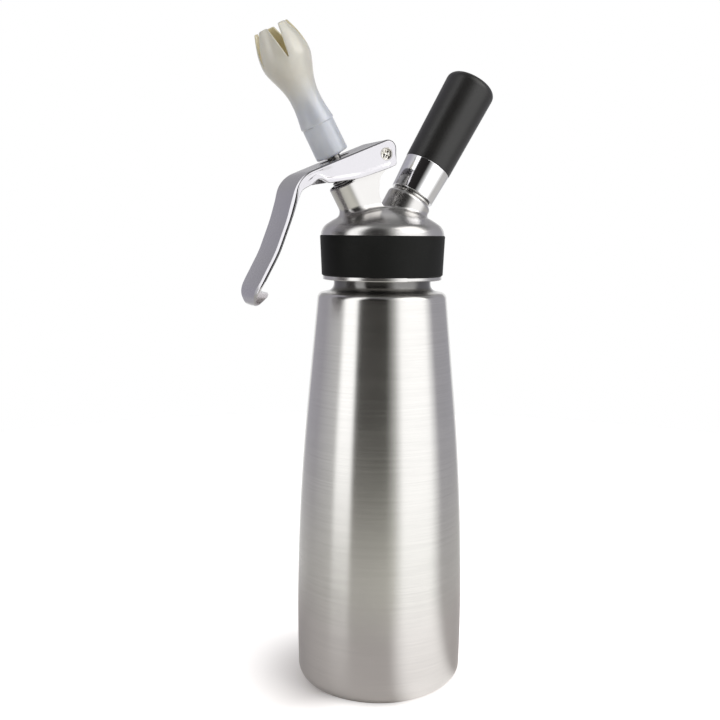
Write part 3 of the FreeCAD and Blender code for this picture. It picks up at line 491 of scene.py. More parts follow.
class Tree:
    """The nodes of one material or world."""

    def __init__(self, owner: Union[bpy.types.Material, bpy.types.World]) -> None:
        """Start from an empty node tree."""
        owner.use_nodes = True
        self.nodes = owner.node_tree
        self.nodes.nodes.clear()

    def node(self, kind: str, settings: Optional[dict] = None,
             feeds: Optional[dict] = None) -> bpy.types.Node:
        """Add a node.

        Args:
            kind: the node's type.
            settings: its properties, set first. The entry stops holds a ramp's
                (position, colour) pairs.
            feeds: value or wire for each input socket, by name or number.

        Returns:
            The node.
        """
        made = self.nodes.nodes.new(kind)
        for name, value in (settings or {}).items():
            if name == "stops":
                while len(made.color_ramp.elements) < len(value):
                    made.color_ramp.elements.new(0.5)
                for element, (position, color) in zip(made.color_ramp.elements, value):
                    element.position, element.color = position, (*color, 1.0)
            else:
                setattr(made, name, value)
        for name, value in (feeds or {}).items():
            if isinstance(value, Wire):
                self.nodes.links.new(value.socket, made.inputs[name])
            else:
                made.inputs[name].default_value = value
        return made

    def out(self, kind: str, settings: Optional[dict] = None, feeds: Optional[dict] = None,
            result: Union[int, str] = 0) -> Wire:
        """Add a node and return one of its outputs."""
        return Wire(self, self.node(kind, settings, feeds).outputs[result])

    def math(self, operation: str, *terms: Term) -> Wire:
        """Add a Math node."""
        return self.out("ShaderNodeMath", {"operation": operation}, dict(enumerate(terms)))

    def vector_math(self, operation: str, *terms: Union[Wire, Vector, tuple],
                    result: Union[int, str] = 0) -> Wire:
        """Add a Vector Math node. A result that is a number comes out at Value."""
        return self.out("ShaderNodeVectorMath", {"operation": operation}, dict(enumerate(terms)), result)

    def rays(self, kind: str) -> Wire:
        """1 for rays of a kind, such as Camera or Glossy, and 0 for all others."""
        return self.out("ShaderNodeLightPath", result=f"Is {kind} Ray")

    def object_place(self) -> Wire:
        """The place in the frame of the dispenser, in metres."""
        return self.out("ShaderNodeTexCoord", result="Object")

    def about(self, axis: Axis) -> Wire:
        """The place counted from an axis, with that axis as its third coordinate."""
        feeds = {
            "Vector": self.object_place(),
            "Location": (0.0, 0.0, axis.root * MM),
            "Rotation": (0.0, math.radians(axis.lean), 0.0),
        }
        return self.out("ShaderNodeMapping", {"vector_type": "TEXTURE"}, feeds)

    def noise(self, vector: Wire, scale: float = 1.0, detail: float = 2.0,
              roughness: float = 0.5) -> Wire:
        """Soft noise from 0 to 1, with its mean near a half."""
        feeds = {"Vector": vector, "Scale": scale, "Detail": detail, "Roughness": roughness}
        return self.out("ShaderNodeTexNoise", {"noise_dimensions": "3D"}, feeds)

    def color_mix(self, factor: Term, first: Union[Wire, Color], second: Union[Wire, Color]) -> Wire:
        """Blend of two colours."""
        feeds = {0: factor, RGBA_A: self._rgba(first), RGBA_B: self._rgba(second)}
        return self.out("ShaderNodeMix", {"data_type": "RGBA"}, feeds, RGBA_RESULT)

    @staticmethod
    def _rgba(color: Union[Wire, Color]) -> Union[Wire, tuple]:
        """A colour as a socket takes it."""
        return color if isinstance(color, Wire) else (*color, 1.0)

    def bump(self, height: Wire, distance: float) -> Wire:
        """Normal of a surface raised by a height from 0 to 1 times a distance in millimetres."""
        feeds = {"Height": height, "Distance": distance * MM, "Strength": 1.0}
        return self.out("ShaderNodeBump", None, feeds)

    def mask(self, name: str) -> Wire:
        """A mask that is stored on the mesh."""
        return self.out("ShaderNodeAttribute", {"attribute_name": name}, result="Fac")


# ================================================================ finishes
class Grain(Enum):
    """How the marks of a metal's finish run."""

    TURNED = "in rings about the axis"
    CAST = "the same in all directions"


def scaled(color: Color, factor: float) -> Color:
    """A colour with each channel times a factor."""
    return tuple(factor * channel for channel in color)


@dataclass(frozen=True)
class Finish:
    """What a surface is made of.

    Attributes:
        name: name of the material.
        color: colour of the clean surface.
        roughness: its mean roughness.
    """

    name: str
    color: Color
    roughness: float

    def values(self, tree: Tree) -> dict:
        """Values and wires of the Principled shader."""
        raise NotImplementedError

    def material(self) -> bpy.types.Material:
        """Build the material."""
        made = bpy.data.materials.new(self.name)
        tree = Tree(made)
        shader = tree.out("ShaderNodeBsdfPrincipled", None, self.values(tree))
        tree.node("ShaderNodeOutputMaterial", None, {"Surface": shader})
        return made


MARKS = ((28.0, 1.0, 2.0), (12.0, 6.0, 3.0))   # how many to a metre, height in mark sizes, detail
STAINS = 38.0       # stains in a metre
FINE_SHARE = 0.7    # how much of a pattern its finer marks make up
POLISHED = 0.1      # roughness that polished places lose
PAINTED_SHADE_KEEPS = 0.3     # how much of its colour metal keeps under painted shade


@dataclass(frozen=True)
class Metal(Finish):
    """Bare metal with fine marks, stains and uneven polish.

    Attributes:
        grain: how its marks run.
        axis: the axis that turned marks run about.
        mark_depth: depth of the marks, in millimetres.
        mark_size: height of one mark, in millimetres.
        unevenness: how far the roughness varies.
        contrast: how far the marks and stains change the colour.
        anisotropy: how much further the marks spread a reflection across them than along them.
        polish: name of the mesh's mask of polished places, if it has one.
        painted_shade: name of the mesh's mask of places darkened as painted shade, if it has one.
    """

    grain: Grain = Grain.TURNED
    axis: Axis = UPRIGHT
    mark_depth: float = 0.003
    mark_size: float = 0.3
    unevenness: float = 0.06
    contrast: float = 0.04
    anisotropy: float = 0.0
    polish: str = ""
    painted_shade: str = ""

    def marks(self, tree: Tree) -> Wire:
        """Noise from 0 to 1 that is long round the axis and short along it, or grainy."""
        fine = 1.0 / (self.mark_size * MM)
        if self.grain is Grain.CAST:
            return tree.noise(tree.object_place(), fine, 3.0)
        place = tree.about(self.axis)
        turned_marks, broad_marks = (
            tree.noise(tree.vector_math("MULTIPLY", place, (count, count, fine / height)), 1.0, detail)
            for count, height, detail in MARKS
        )
        return turned_marks.blended(broad_marks, FINE_SHARE)

    def values(self, tree: Tree) -> dict:
        """Marks and stains in the colour and the roughness, and marks in the relief."""
        marks = self.marks(tree)
        stains = tree.noise(tree.object_place(), STAINS, 4.0, 0.6)
        dull, bright = scaled(self.color, 1 - self.contrast), scaled(self.color, 1 + self.contrast)
        color = tree.color_mix(marks.blended(stains, FINE_SHARE).above(0.3, 0.7), dull, bright)
        roughness = self.roughness + (marks - 0.5) * self.unevenness + (stains - 0.5) * self.unevenness
        if self.polish:
            roughness = roughness - tree.mask(self.polish) * POLISHED
        # Painted shade: the masked places are darkened as though shade fell on them.
        if self.painted_shade:
            color = tree.color_mix(tree.mask(self.painted_shade), color, scaled(dull, PAINTED_SHADE_KEEPS))
        return {
            "Base Color": color,
            "Metallic": 1.0,
            "Roughness": roughness,
            "Anisotropic": self.anisotropy,
            "Anisotropic Rotation": 0.25,
            "Normal": tree.bump(marks, self.mark_depth),
        }


@dataclass(frozen=True)
class Polymer(Finish):
    """Moulded plastic or rubber with a fine grain and a little dust.

    Attributes:
        grain_size: size of one grain, in millimetres.
        grain_depth: depth of the grain, in millimetres.
        dust: how much the grain's tops are lightened.
        clouds: broad patches of wear in a metre.
        specular: strength of its reflection.
    """

    grain_size: float = 0.5
    grain_depth: float = 0.02
    dust: float = 0.009
    clouds: float = 55.0
    specular: float = 0.25

    def values(self, tree: Tree) -> dict:
        """Dust and grain in the colour and the roughness, and grain in the relief."""
        place = tree.object_place()
        grain = tree.noise(place, 1.0 / (self.grain_size * MM), 3.0, 0.6)
        cloud = tree.noise(place, self.clouds, 3.0)
        pale = tuple(channel + self.dust * (1 - channel) for channel in self.color)
        return {
            "Base Color": tree.color_mix(grain.blended(cloud, 0.6).above(0.45, 0.75), self.color, pale),
            "Roughness": self.roughness + (grain - 0.5) * 0.16 + (cloud - 0.5) * 0.1,
            "Specular IOR Level": self.specular,
            "Normal": tree.bump(grain, self.grain_depth),
        }


@dataclass(frozen=True)
class PearlPlastic(Finish):
    """Slightly translucent pearly plastic, warmer in colour where its mask petal_edge is 1.

    Attributes:
        high: colour of its upper end, where color is the lower end's darker bluish grey, painted shade on
            the collar and neck.
        warm: colour of the slit edges and the inside.
        axis: the axis that the colour changes along.
        change: heights on the axis, in millimetres, that the change starts and ends at.
        pearl: how metallic the pearly outside is.
        clouds: cloudy patches in a metre.
        shade: how much darker they are.
        grains: grains in a metre.
        grain_depth: depth of the grain, in millimetres.
    """

    high: Color
    warm: Color
    axis: Axis
    change: tuple[float, float]
    pearl: float = 0.09
    clouds: float = 90.0
    shade: float = 0.07
    grains: float = 1400.0
    grain_depth: float = 0.006

    def values(self, tree: Tree) -> dict:
        """The change along the axis, which paints shade on the lower end, faint clouds and the warmer
        edges.
        """
        place = tree.object_place()
        height = tree.out("ShaderNodeSeparateXYZ", None, {0: tree.about(self.axis)}, "Z")
        upper = height.above(self.change[0] * MM, self.change[1] * MM)
        cloud = tree.noise(place, self.clouds, 4.0, 0.6)
        # Painted shade: the tip's lower end is given a darker bluish grey.
        own = tree.color_mix(upper, self.color, self.high)
        cloudy = tree.color_mix(self.shade, own, (0.0, 0.0, 0.0))
        outside = tree.color_mix(cloud.above(0.35, 0.7), cloudy, own)
        edge = tree.mask("petal_edge")
        return {
            "Base Color": tree.color_mix(edge, outside, self.warm),
            "Roughness": self.roughness + (cloud - 0.5) * 0.12,
            "Metallic": self.pearl - edge * self.pearl,
            "Subsurface Weight": 0.4,
            "Subsurface Radius": (1.0, 0.85, 0.6),
            "Subsurface Scale": 0.003,
            "Coat Weight": 0.38,
            "Coat Roughness": 0.12,
            "Normal": tree.bump(tree.noise(place, self.grains, 2.0), self.grain_depth),
        }


# ================================================================ sub-assemblies
def dressed(piece: bpy.types.Object, material: bpy.types.Material) -> None:
    """Give a piece one material in all its slots."""
    if not piece.data.materials:
        piece.data.materials.append(material)
    for place in range(len(piece.data.materials)):
        piece.data.materials[place] = material


def settled(piece: bpy.types.Object, material: bpy.types.Material, body: str, slot: str,
            *nodes: str) -> None:
    """Dress a new piece, and let it ride on a body and stand for some solids."""
    dressed(piece, material)
    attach(piece, body)
    if nodes:
        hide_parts(*nodes)
    LOG.info("%s rides on %s, %d faces", piece.name, body, len(piece.data.polygons))


def kept(finish: Finish, *nodes: str) -> None:
    """Give solids that are shown as they are a better finish."""
    material = finish.material()
    for name in nodes:
        dressed(frame["nodes"][name], material)
        LOG.info("%s keeps its solid, in %s", name, finish.name)


VALVE = Axis(joint_lean("valve_plunge"), 236.5)
PORT = Axis(joint_lean("holder_lift"), 241.1)


@dataclass
class Bottle:
    """Drawn steel bottle with a recessed base and a threaded neck."""

    widest_height: float = 40.0
    bow_end: float = 159.0
    shoulder_radius: float = 35.0
    shoulder_height: float = 217.5
    shoulder_rise: float = 1.8
    shoulder_edge: float = 3.2
    neck_flare: float = 4.0
    neck_radius: float = 26.4
    neck_collar: float = 6.5
    collar_slope: float = 0.6
    collar_edges: tuple = (0.4, 0.3)
    thread_depth: float = 0.9
    thread_pitch: float = 3.2
    thread_length: float = 13.5
    thread_gap: float = 1.0       # plain neck under the thread
    thread_width: float = 0.62    # share of the pitch that a ridge takes at its foot
    thread_flank: float = 0.3     # share of the pitch that its two flanks take
    thread_fade: float = 8.0      # one over the share of the length that each end fades in
    wall: float = 1.0
    neck_wall: float = 2.4
    base_edge: float = 17.0
    ring_width: float = 5.0
    recess: float = 2.5
    base_wall: float = 1.4
    foot_draft: float = 0.4
    lip: float = 0.8              # rounding of the mouth and of the foot's inner edge
    crease: float = 2.0
    floor_edge: float = 0.5
    skin: float = 0.05            # how near its root the neck's outside is, and what a ridge lacks in depth
    painted_shade_radii: tuple = (27.4, 31.4)   # painted shade inside the first radius and none past the second
    painted_shade_top: tuple = (-1.0, 0.5)      # where the painted shade ends, counted from the collar's top
    segments: int = 224
    wall_rows: int = 60
    neck_step: float = 0.22
    wall_step: float = 2.5
    # The darker neck under the grip band is painted shade.
    finish: Metal = Metal("brushed_bottle_steel", (0.63, 0.62, 0.605), 0.23, contrast=0.06,
                          anisotropy=0.75, painted_shade="neck_dull")

    @property
    def collar_top(self) -> float:
        """Height where the neck's plain collar ends."""
        return self.shoulder_height + self.shoulder_rise + self.neck_collar

    def wall_curve(self, inset: float) -> np.ndarray:
        """Wall from above the base's edge to the end of the bow, as an arc of a circle.

        The circle is tangent to the upright at the widest height and to the straight taper
        at the end of the bow, and an inset makes its radius smaller.
        """
        radius = node_size("bottle")[1][0]
        rise = self.bow_end - self.widest_height
        taper = self.shoulder_height - self.bow_end
        slope = math.atan((radius - self.shoulder_radius) / (taper + rise / 2))
        bow = rise / math.sin(slope)
        low = math.asin((self.base_edge - self.widest_height) / (bow - inset))
        turn = np.linspace(low, slope, self.wall_rows)
        across = radius - bow + (bow - inset) * np.cos(turn)
        return np.stack([across, self.widest_height + (bow - inset) * np.sin(turn)], axis=-1)

    def profile(self) -> np.ndarray:
        """Whole outline, from the middle of the base up the outside and down the inside."""
        mouth = node_size("bottle")[1][2]
        outer, inner = self.wall_curve(0.0), self.wall_curve(self.wall)
        root = self.neck_radius - self.thread_depth
        bore = root - self.neck_wall
        shoulder = (self.shoulder_radius, self.shoulder_height, self.shoulder_edge)
        top = self.shoulder_height + self.shoulder_rise
        ring = outer[0, 0] - self.base_edge - self.ring_width
        raised = self.recess + self.base_wall
        upper = [
            (outer[-1, 0], outer[-1, 1]),
            shoulder,
            (self.neck_radius, top, self.neck_flare),
            (self.neck_radius, self.collar_top, self.collar_edges[0]),
            (root, self.collar_top + self.collar_slope, self.collar_edges[1]),
            (root, mouth, self.lip),
            (bore, mouth, self.lip),
            (bore, top - self.wall, self.neck_flare + self.wall),
            tuple(size - self.wall for size in shoulder),
            (inner[-1, 0], inner[-1, 1]),
        ]
        floor = [
            (inner[0, 0], self.base_edge),
            (inner[0, 0] - self.foot_draft, self.base_wall, self.base_edge - self.wall),
            (ring + self.recess, self.base_wall, self.floor_edge),
            (ring, raised, self.crease),
            (0.0, raised),
        ]
        base = [
            (0.0, self.recess),
            (ring - self.recess, self.recess, self.crease),
            (ring, 0.0, self.lip),
            (outer[0, 0] - self.foot_draft, 0.0, self.base_edge),
            (outer[0, 0], self.base_edge),
        ]
        outside = [rounded(base, steps=12)[:-1], outer[:-1], rounded(upper, steps=10)]
        return np.concatenate([*outside, inner[-2::-1], rounded(floor, steps=12)[1:]])

    def threaded(self, surface: Surface) -> Surface:
        """Raise the neck's thread: a ridge that climbs one pitch for each turn.

        A point's place in the pitch is its height in pitches less its angle in turns. There the
        ridge has straight flanks and a flat top, and it fades at both ends of the thread.
        """
        root = self.neck_radius - self.thread_depth
        start = self.collar_top + self.thread_gap
        x, y, z = surface.points.T
        radius = np.hypot(x, y)
        place = (z - start) / self.thread_pitch - np.arctan2(y, x) / FULL_TURN
        within = np.abs(place - np.floor(place) - 0.5) * 2
        ridge = np.clip((self.thread_width - within) / self.thread_flank, 0, 1)
        share = (z - start) / self.thread_length
        fade = np.clip(share * self.thread_fade, 0, 1) * np.clip((1 - share) * self.thread_fade, 0, 1)
        outside = np.abs(radius - root) < self.skin
        lift = np.where(outside, ridge * fade * (self.thread_depth - self.skin), 0.0)
        surface.points[:, :2] *= (1 + lift / np.maximum(radius, 1.0))[:, None]
        return surface

    def build(self) -> None:
        """Make the bottle and put it in place."""
        profile = self.profile()
        first, last = np.flatnonzero(profile[:, 1] > self.collar_top)[[0, -1]]
        neck = refined(profile[first:last + 1], self.neck_step)
        lower, inside = (refined(part, self.wall_step) for part in (profile[:first], profile[last + 1:]))
        surface = self.threaded(revolved(np.concatenate([lower, neck, inside]), self.segments))
        x, y, z = surface.points.T
        under_thread = 1 - eased(z - self.collar_top, *self.painted_shade_top)
        near_neck = 1 - eased(np.hypot(x, y), *self.painted_shade_radii)
        # Painted shade in the neck's crease between the shoulder and the grip band.
        surface.masks["neck_dull"] = near_neck * under_thread * (z > self.shoulder_height)
        piece = made_object("bottle_shell", surface)
        settled(piece, self.finish.material(), "bottle", "bottle_steel", "bottle")


@dataclass
class Head:
    """Head with its skirt, dome, valve tube, lever web and port boss."""

    steel: Metal = Metal("turned_head_steel", (0.60, 0.59, 0.58), 0.25, Grain.CAST, mark_depth=0.001,
                         mark_size=0.15)
    band: Polymer = Polymer("black_silicone", (0.006, 0.0065, 0.006), 0.6, specular=0.18)
    seal: Polymer = Polymer("soft_rubber", (0.05, 0.05, 0.055), 0.7)

    def build(self) -> None:
        """Dress the head, its grip band and its seals."""
        kept(self.steel, "head_body")
        kept(self.band, "grip_band")
        kept(self.seal, "head_gasket", "stem_seal", "valve_seal", "tip_seal", "port_ring",
             "charger_gasket", "check_valve", "charger_cushion")


@dataclass
class Valve:
    """Stem, bush and spring in the leaning tube."""

    spring_low: float = 37.5
    spring_high: float = 47.9
    spring_radius: float = 6.18
    wire: float = 0.5
    turns: float = 6.0
    flat_turns: float = 0.9    # turns at each end that lie nearly flat
    flat_climb: float = 0.07   # share of the height that each of those ends climbs
    coil_steps: int = 420
    coil_sides: int = 12
    bright: Metal = Metal("bright_turned_steel", (0.66, 0.65, 0.63), 0.2, axis=VALVE)
    # Painted shade: the steel stem is coloured dark for the shade under the lever's plate.
    stem: Metal = Metal("painted_shade_stem_steel", (0.24, 0.235, 0.225), 0.24, axis=VALVE)
    spring: Metal = Metal("drawn_wire_steel", (0.5, 0.5, 0.51), 0.28, Grain.CAST)
    bush: Polymer = Polymer("black_bush_plastic", (0.01, 0.01, 0.011), 0.4)

    def coil(self) -> Surface:
        """Helix (r cos t, r sin t, z) whose z climbs evenly with t, and less at its flat ends."""
        share = np.linspace(0, 1, self.coil_steps)
        turn = share * self.turns * FULL_TURN
        end = self.flat_turns / self.turns
        climb = np.clip((share - end) / (1 - 2 * end), 0, 1)
        low, high = self.spring_low + self.wire, self.spring_high - self.wire
        flat = np.minimum(share, end) / end - np.minimum(1 - share, end) / end
        place = low + (high - low) * ((1 - 2 * self.flat_climb) * climb + self.flat_climb * (1 + flat))
        radius = self.spring_radius
        path = np.stack([radius * np.cos(turn), radius * np.sin(turn), place], axis=-1)
        return tube_along(path, self.wire, self.coil_sides)

    def build(self) -> None:
        """Dress the stem and make the spring."""
        kept(self.bright, "valve_head", "tip_insert")
        kept(self.stem, "valve_stem")
        kept(self.bush, "stem_guide")
        piece = made_object("spring_coil", self.coil(), VALVE)
        dressed(piece, self.spring.material())
        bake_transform(piece)
        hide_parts("valve_spring")
        LOG.info("%s joins the head and the valve", piece.name)


@dataclass
class Stations:
    """Where the sections of the lever stand, as arrays with a row for each.

    Attributes:
        outer: points (x, z) of the outer outline.
        inner: the matched points of the inner outline.
        normal: outward unit vectors at the outer points.
        under: outward unit vectors at the inner points.
        sheet: thickness of the plate or strap along the line from outer to inner point.
        bevel: share of the full bevel.
        border: share of the full raised border.
    """

    outer: np.ndarray
    inner: np.ndarray
    normal: np.ndarray
    under: np.ndarray
    sheet: np.ndarray
    bevel: np.ndarray
    border: np.ndarray

    @property
    def depth(self) -> np.ndarray:
        """Distance from each outer point to its inner one."""
        return np.linalg.norm(self.inner - self.outer, axis=1, keepdims=True)


Column = tuple[np.ndarray, np.ndarray]   # places in the side view, and distances in from the side


@dataclass
class Lever:
    """Cast lever on its pin: a channel over the valve and a strap with a hooked end.

    Outlines are (x, z, corner radius) points of the side view, counted from the pivot.
    """

    half_width: float = 16.0
    wall: float = 3.6
    plate: float = 2.2
    strap: float = 2.4
    tongue_end: float = -80.3
    tongue_length: float = 14.0
    crown: float = 0.25
    border_width: float = 2.0
    border_height: float = 0.35
    dent_middle: tuple = (-36.0, -10.5)
    dent_reach: tuple = (7.0, 3.2)
    dent_depth: float = 0.7
    lower_edge: float = 0.45
    inner_corner: float = 1.5
    back: tuple = (5.8, -4.3)
    back_corner_end: tuple = (-3.2, 5.87)   # where the plate goes on from its back corner
    fan_reach: float = 5.0     # first stretch of the back edge
    fan_share: float = 0.72    # share of the underside's back part that this stretch is matched with
    bend_rows: float = 60.0    # rows over which the plate grows to the strap's thickness
    bevel_start: float = 5.0
    hook_bevel: float = 0.6    # share of the bevel that is lost round the hook
    hook_fade: tuple = (-1.8, 7.2)        # how far past the notch it is lost
    border_start: tuple = (6.4, 22.4)     # how far from the back point the border grows
    tip: tuple = (-63.65, -72.2)
    top: tuple = (
        (5.8, 9.6, 6.5), (-28.2, -4.5, 60.0), (-48.0, -12.8, 17.0),
        (-54.2, -34.7, 70.0), (-60.2, -50.7, 60.0), (-71.2, -71.4, 9.0),
    )
    hook: tuple = ((-68.9, -81.9, 2.2), (-63.0, -73.4, 1.5))
    hook_inside: tuple = (-64.3, -71.0, 0.8)
    notch: tuple = (0.25, 0.65)            # from the strap's inner corner, in strap thicknesses
    notch_radius: float = 1.2
    outer_step: float = 1.1
    inner_step: float = 0.8
    underside: tuple = (
        (5.8, -5.5, 1.2), (1.3, -7.5, 15.0), (-14.7, -13.1, 40.0), (-32.0, -16.0, 3.0),
        (-36.6, -13.1, 3.5), (-41.0, -17.0, 2.0), (-46.3, -19.9, 6.0), (-48.3, -25.3, 20.0),
    )
    channel_edge: tuple = ((2.4, 0.0), (0.7, 0.0, 0.3), (0.0, 0.7, 0.4), (0.0, 1.4))
    strap_edge: tuple = ((2.6, 0.0), (1.9, 0.0, 0.4), (0.0, 1.45, 1.6), (0.0, 2.3))
    strap_from: tuple = (14.0, 26.0)       # how far down the channel turns into the strap
    end_from: tuple = (64.0, 76.0)         # how far down the bevel widens
    end_widening: float = 0.8
    polished_from: tuple = (70.0, 77.0)    # how far down the whole strap is polished
    narrow_width: float = 8.0              # half width below which walls and bevel shrink
    edge_room: float = 0.98                # share of its room that an edge may fill
    edge_limit: float = 0.85               # share of the section's depth that the bevel may take
    edge_clearance: float = 1.15           # how far in the face's columns end, over the bevel's width
    lower_limit: float = 0.25              # share of the side that the lower edge may take
    inner_limit: float = 0.3               # share of the hollow that a corner in it may take
    border_foot: float = 1.25              # width of the border with its slope, over its own
    border_limit: float = 0.8              # share of the side that the border may take
    border_side: float = 6.0               # depth that the side gains while the border rises
    plate_columns: int = 5
    side_shares: tuple = (0.12, 0.94, 9)   # first and last share of the way down, and their number
    wall_columns: int = 4
    corner_columns: int = 5
    ceiling_shares: tuple = (0.66, 0.33, 0.0)
    pin_hole: float = 3.34
    hole_reach: float = 2.0    # how far past each side the hole is cut
    slot_middle: tuple = (-22.85, -2.35)
    slot_length: float = 17.5
    slot_width: float = 10.2
    slot_reach: float = 6.0    # how far over and under the plate the slot is cut
    round_sides: int = 64
    rib_width: float = 5.0
    rib_start: float = 50.5
    rib_height: float = 7.5
    rib_inside: float = 4.3
    rib_edge: float = 0.3
    cast: Metal = Metal("satin_cast_aluminium", (0.535, 0.525, 0.55), 0.26, Grain.CAST, mark_depth=0.002,
                        polish="polished")

    @staticmethod
    def pivot() -> np.ndarray:
        """Place (x, z) of the pin's axis in the side view."""
        low, high = node_size("lever_pin")
        return ((low + high) / 2)[[0, 2]]

    def rails(self) -> tuple[np.ndarray, np.ndarray, int]:
        """Outer and inner outline of the side view, which meet at the back edge and the hook's tip.

        Returns:
            Points of the outer outline, points of the inner one, and the number of the inner
            outline's point at the bottom of the hook's notch.
        """
        inner = offset_path(np.array([corner[:2] for corner in self.top[2:]]), self.strap)
        notch = inner[3] + self.strap * np.array(self.notch)
        outer = rounded([self.back, *self.top, *self.hook, self.tip], steps=12)
        lower = [
            self.back,
            *self.underside,
            (*inner[1], self.top[3][2]),
            (*inner[2], self.top[4][2]),
            (*notch, self.notch_radius),
            self.hook_inside,
            self.tip,
        ]
        low = refined(rounded(lower, steps=10), self.inner_step)
        return refined(outer, self.outer_step), low, nearest_row(low, notch)

    def paired(self) -> Stations:
        """Match each point of the outer outline with one of the inner outline.

        Down to the notch it is the point that a line across the lever meets, and past the
        notch both outlines are walked through at the same share of their length. Up the back
        edge the inner points spread from the point where the outlines meet.
        """
        outer, low, notch = self.rails()
        normal, low_normal = -side_of(outer), side_of(low)
        rows, steps = np.arange(len(outer)), np.arange(len(low))
        walked, low_walked = walked_along(outer), walked_along(low)
        corner_end = nearest_row(outer, np.array(self.back_corner_end))
        hook_start = nearest_row(outer, low[notch])
        place = met_rows(outer, -normal, low)
        past = rows > hook_start
        past_hook = walked - walked[hook_start]
        place = np.where(past, notch + past_hook / past_hook[-1] * (len(low) - 1 - notch), place)
        first = np.interp(place[corner_end], steps, low_walked)
        known, reached = [0.0, self.fan_reach, walked[corner_end]], [0.0, self.fan_share * first, first]
        spread = np.interp(np.interp(walked, known, reached), low_walked, steps)
        place = np.maximum.accumulate(np.where(rows < corner_end, spread, place))
        inner, under = at_rows(low, place), at_rows(low_normal, place)
        depth = np.linalg.norm(inner - outer, axis=1)
        line = -normal[corner_end]
        fallen = (outer - outer[corner_end]) @ line
        slant = np.maximum((inner - outer) @ line / np.maximum(depth, TINY), 0.2)
        bend = np.clip((rows - corner_end) / self.bend_rows, 0, 1)
        sheet = self.plate + (self.strap - self.plate) * bend
        sheet = np.where(rows < corner_end, (self.plate - fallen) / slant, sheet)
        sheet = np.where(past, depth, np.clip(sheet, 0.0, depth))
        bevel = 1 - self.hook_bevel * eased(past_hook, *self.hook_fade)
        bevel = eased(walked, 0.0, self.bevel_start) * bevel
        shares = (values[:, None] for values in (sheet, bevel, eased(walked, *self.border_start)))
        return Stations(outer, inner, normal, under, *shares)

    def width(self, height: np.ndarray) -> np.ndarray:
        """Half width at a height: constant, then an arc of a circle round the lower end."""
        radius = (self.half_width**2 + self.tongue_length**2) / (2 * self.tongue_length)
        fall = np.clip(height - self.tongue_end, 0, self.tongue_length) - radius
        return np.sqrt(np.maximum(radius**2 - fall**2, 0))

    def strap_share(self, at: Stations) -> np.ndarray:
        """0 along the channel and 1 along the strap."""
        return eased(-at.outer[:, 1:], *self.strap_from)

    def narrow(self, at: Stations) -> np.ndarray:
        """Share of their size that walls and edges keep where the lever is narrow."""
        return np.clip(self.width(at.outer[:, 1:]) / self.narrow_width, 0, 1)

    def edge(self, at: Stations) -> tuple[np.ndarray, np.ndarray]:
        """Distances in from the side and down from the outer face, along the bevelled edge.

        The channel's edge turns into the strap's. Both shrink with the bevel, and where the
        section is shallow or narrow.
        """
        share, low = self.strap_share(at), eased(-at.outer[:, 1:], *self.end_from)
        edges = (self.channel_edge, self.strap_edge)
        channel, strap = (rounded(edge, steps=7, room=self.edge_room) for edge in edges)
        inset = (1 - share) * channel[:, 0] + share * strap[:, 0] * (1 + self.end_widening * low)
        down = (1 - share) * channel[:, 1] + share * strap[:, 1]
        room = np.minimum(at.bevel, self.edge_limit * at.depth / down[:, -1:])
        return inset * room * self.narrow(at), down * room

    def face(self, at: Stations, insets: np.ndarray, downs: np.ndarray) -> Iterator[Column]:
        """Columns over the outer face and down the bevelled edge.

        The strap's face is higher by crown (1 - d / w)^2 at a distance d in from the side,
        where w is half the lever's width.
        """
        wide, crowned = self.width(at.outer[:, 1:]), self.crown * self.strap_share(at) * self.narrow(at)
        end = np.maximum(self.wall * self.narrow(at), insets[:, :1] * self.edge_clearance)
        for share in np.linspace(0, 1, self.plate_columns):
            inset = wide - (wide - end) * share
            yield at.outer - at.normal * crowned * (1 - inset / self.half_width) ** 2, inset
        for inset, down in zip(insets.T[..., None], downs.T[..., None]):
            down = down + crowned * (1 - inset / self.half_width) ** 2
            yield at.outer - at.normal * np.minimum(down, self.edge_room * at.depth), inset

    def side(self, at: Stations, down: np.ndarray) -> Iterator[Column]:
        """Columns down the side, over its raised border and round the lower edge."""
        side, channel_share = np.maximum(at.depth - down, NEAR), 1 - self.strap_share(at)
        low_edge = np.minimum(self.lower_edge, self.lower_limit * np.maximum(at.depth - down, 0))
        border = np.minimum(self.border_width / side, self.border_limit)
        deep = np.clip(side / self.border_side - 0.5, 0, 1)
        raised = self.border_height * channel_share * deep * at.border

        def between(share: np.ndarray) -> np.ndarray:
            """Places from the bevel's end (0) to the lower edge (1)."""
            top = at.outer - at.normal * down
            return top * (1 - share) + (at.inner - at.under * low_edge) * share

        for share in np.linspace(*self.side_shares):
            spot = between(share * (1 - border * self.border_foot))
            yield spot, self.dent(spot) * channel_share
        for share, lift in ((self.border_foot, 0.0), (1.0, 1.0), (0.3, 1.0)):
            yield between(1 - border * share), -raised * lift
        for low, back in quarter(5):
            yield at.inner - at.under * low_edge * low, low_edge * back - raised * (1 - back)

    def dent(self, spot: np.ndarray) -> np.ndarray:
        """Depth of the dent in the side by the bend: a smooth bump exp(-d^2) about its middle."""
        away = (spot - np.array(self.dent_middle)) / np.array(self.dent_reach)
        return self.dent_depth * np.exp(-np.sum(away**2, axis=1, keepdims=True))

    def hollow(self, at: Stations) -> Iterator[Column]:
        """Columns up the hollow's wall, round its corner and back along its ceiling."""
        wide, wall = self.width(at.outer[:, 1:]), self.wall * self.narrow(at)
        through = (at.inner - at.outer) / np.maximum(at.depth, TINY)
        room = self.inner_limit * np.maximum(at.depth - at.sheet, 0)
        inside = np.minimum(self.lower_edge, room)
        corner = np.minimum(self.inner_corner, room) * np.clip(at.sheet / self.plate, 0, 1)
        ceiling = at.outer + through * at.sheet
        for down, back in quarter(self.wall_columns):
            yield at.inner - through * inside * back, wall - inside * down
        for down, back in quarter(self.corner_columns):
            yield ceiling + through * corner * down, wall + corner * back
        for share in self.ceiling_shares:
            yield ceiling, wide - (wide - wall - corner) * share

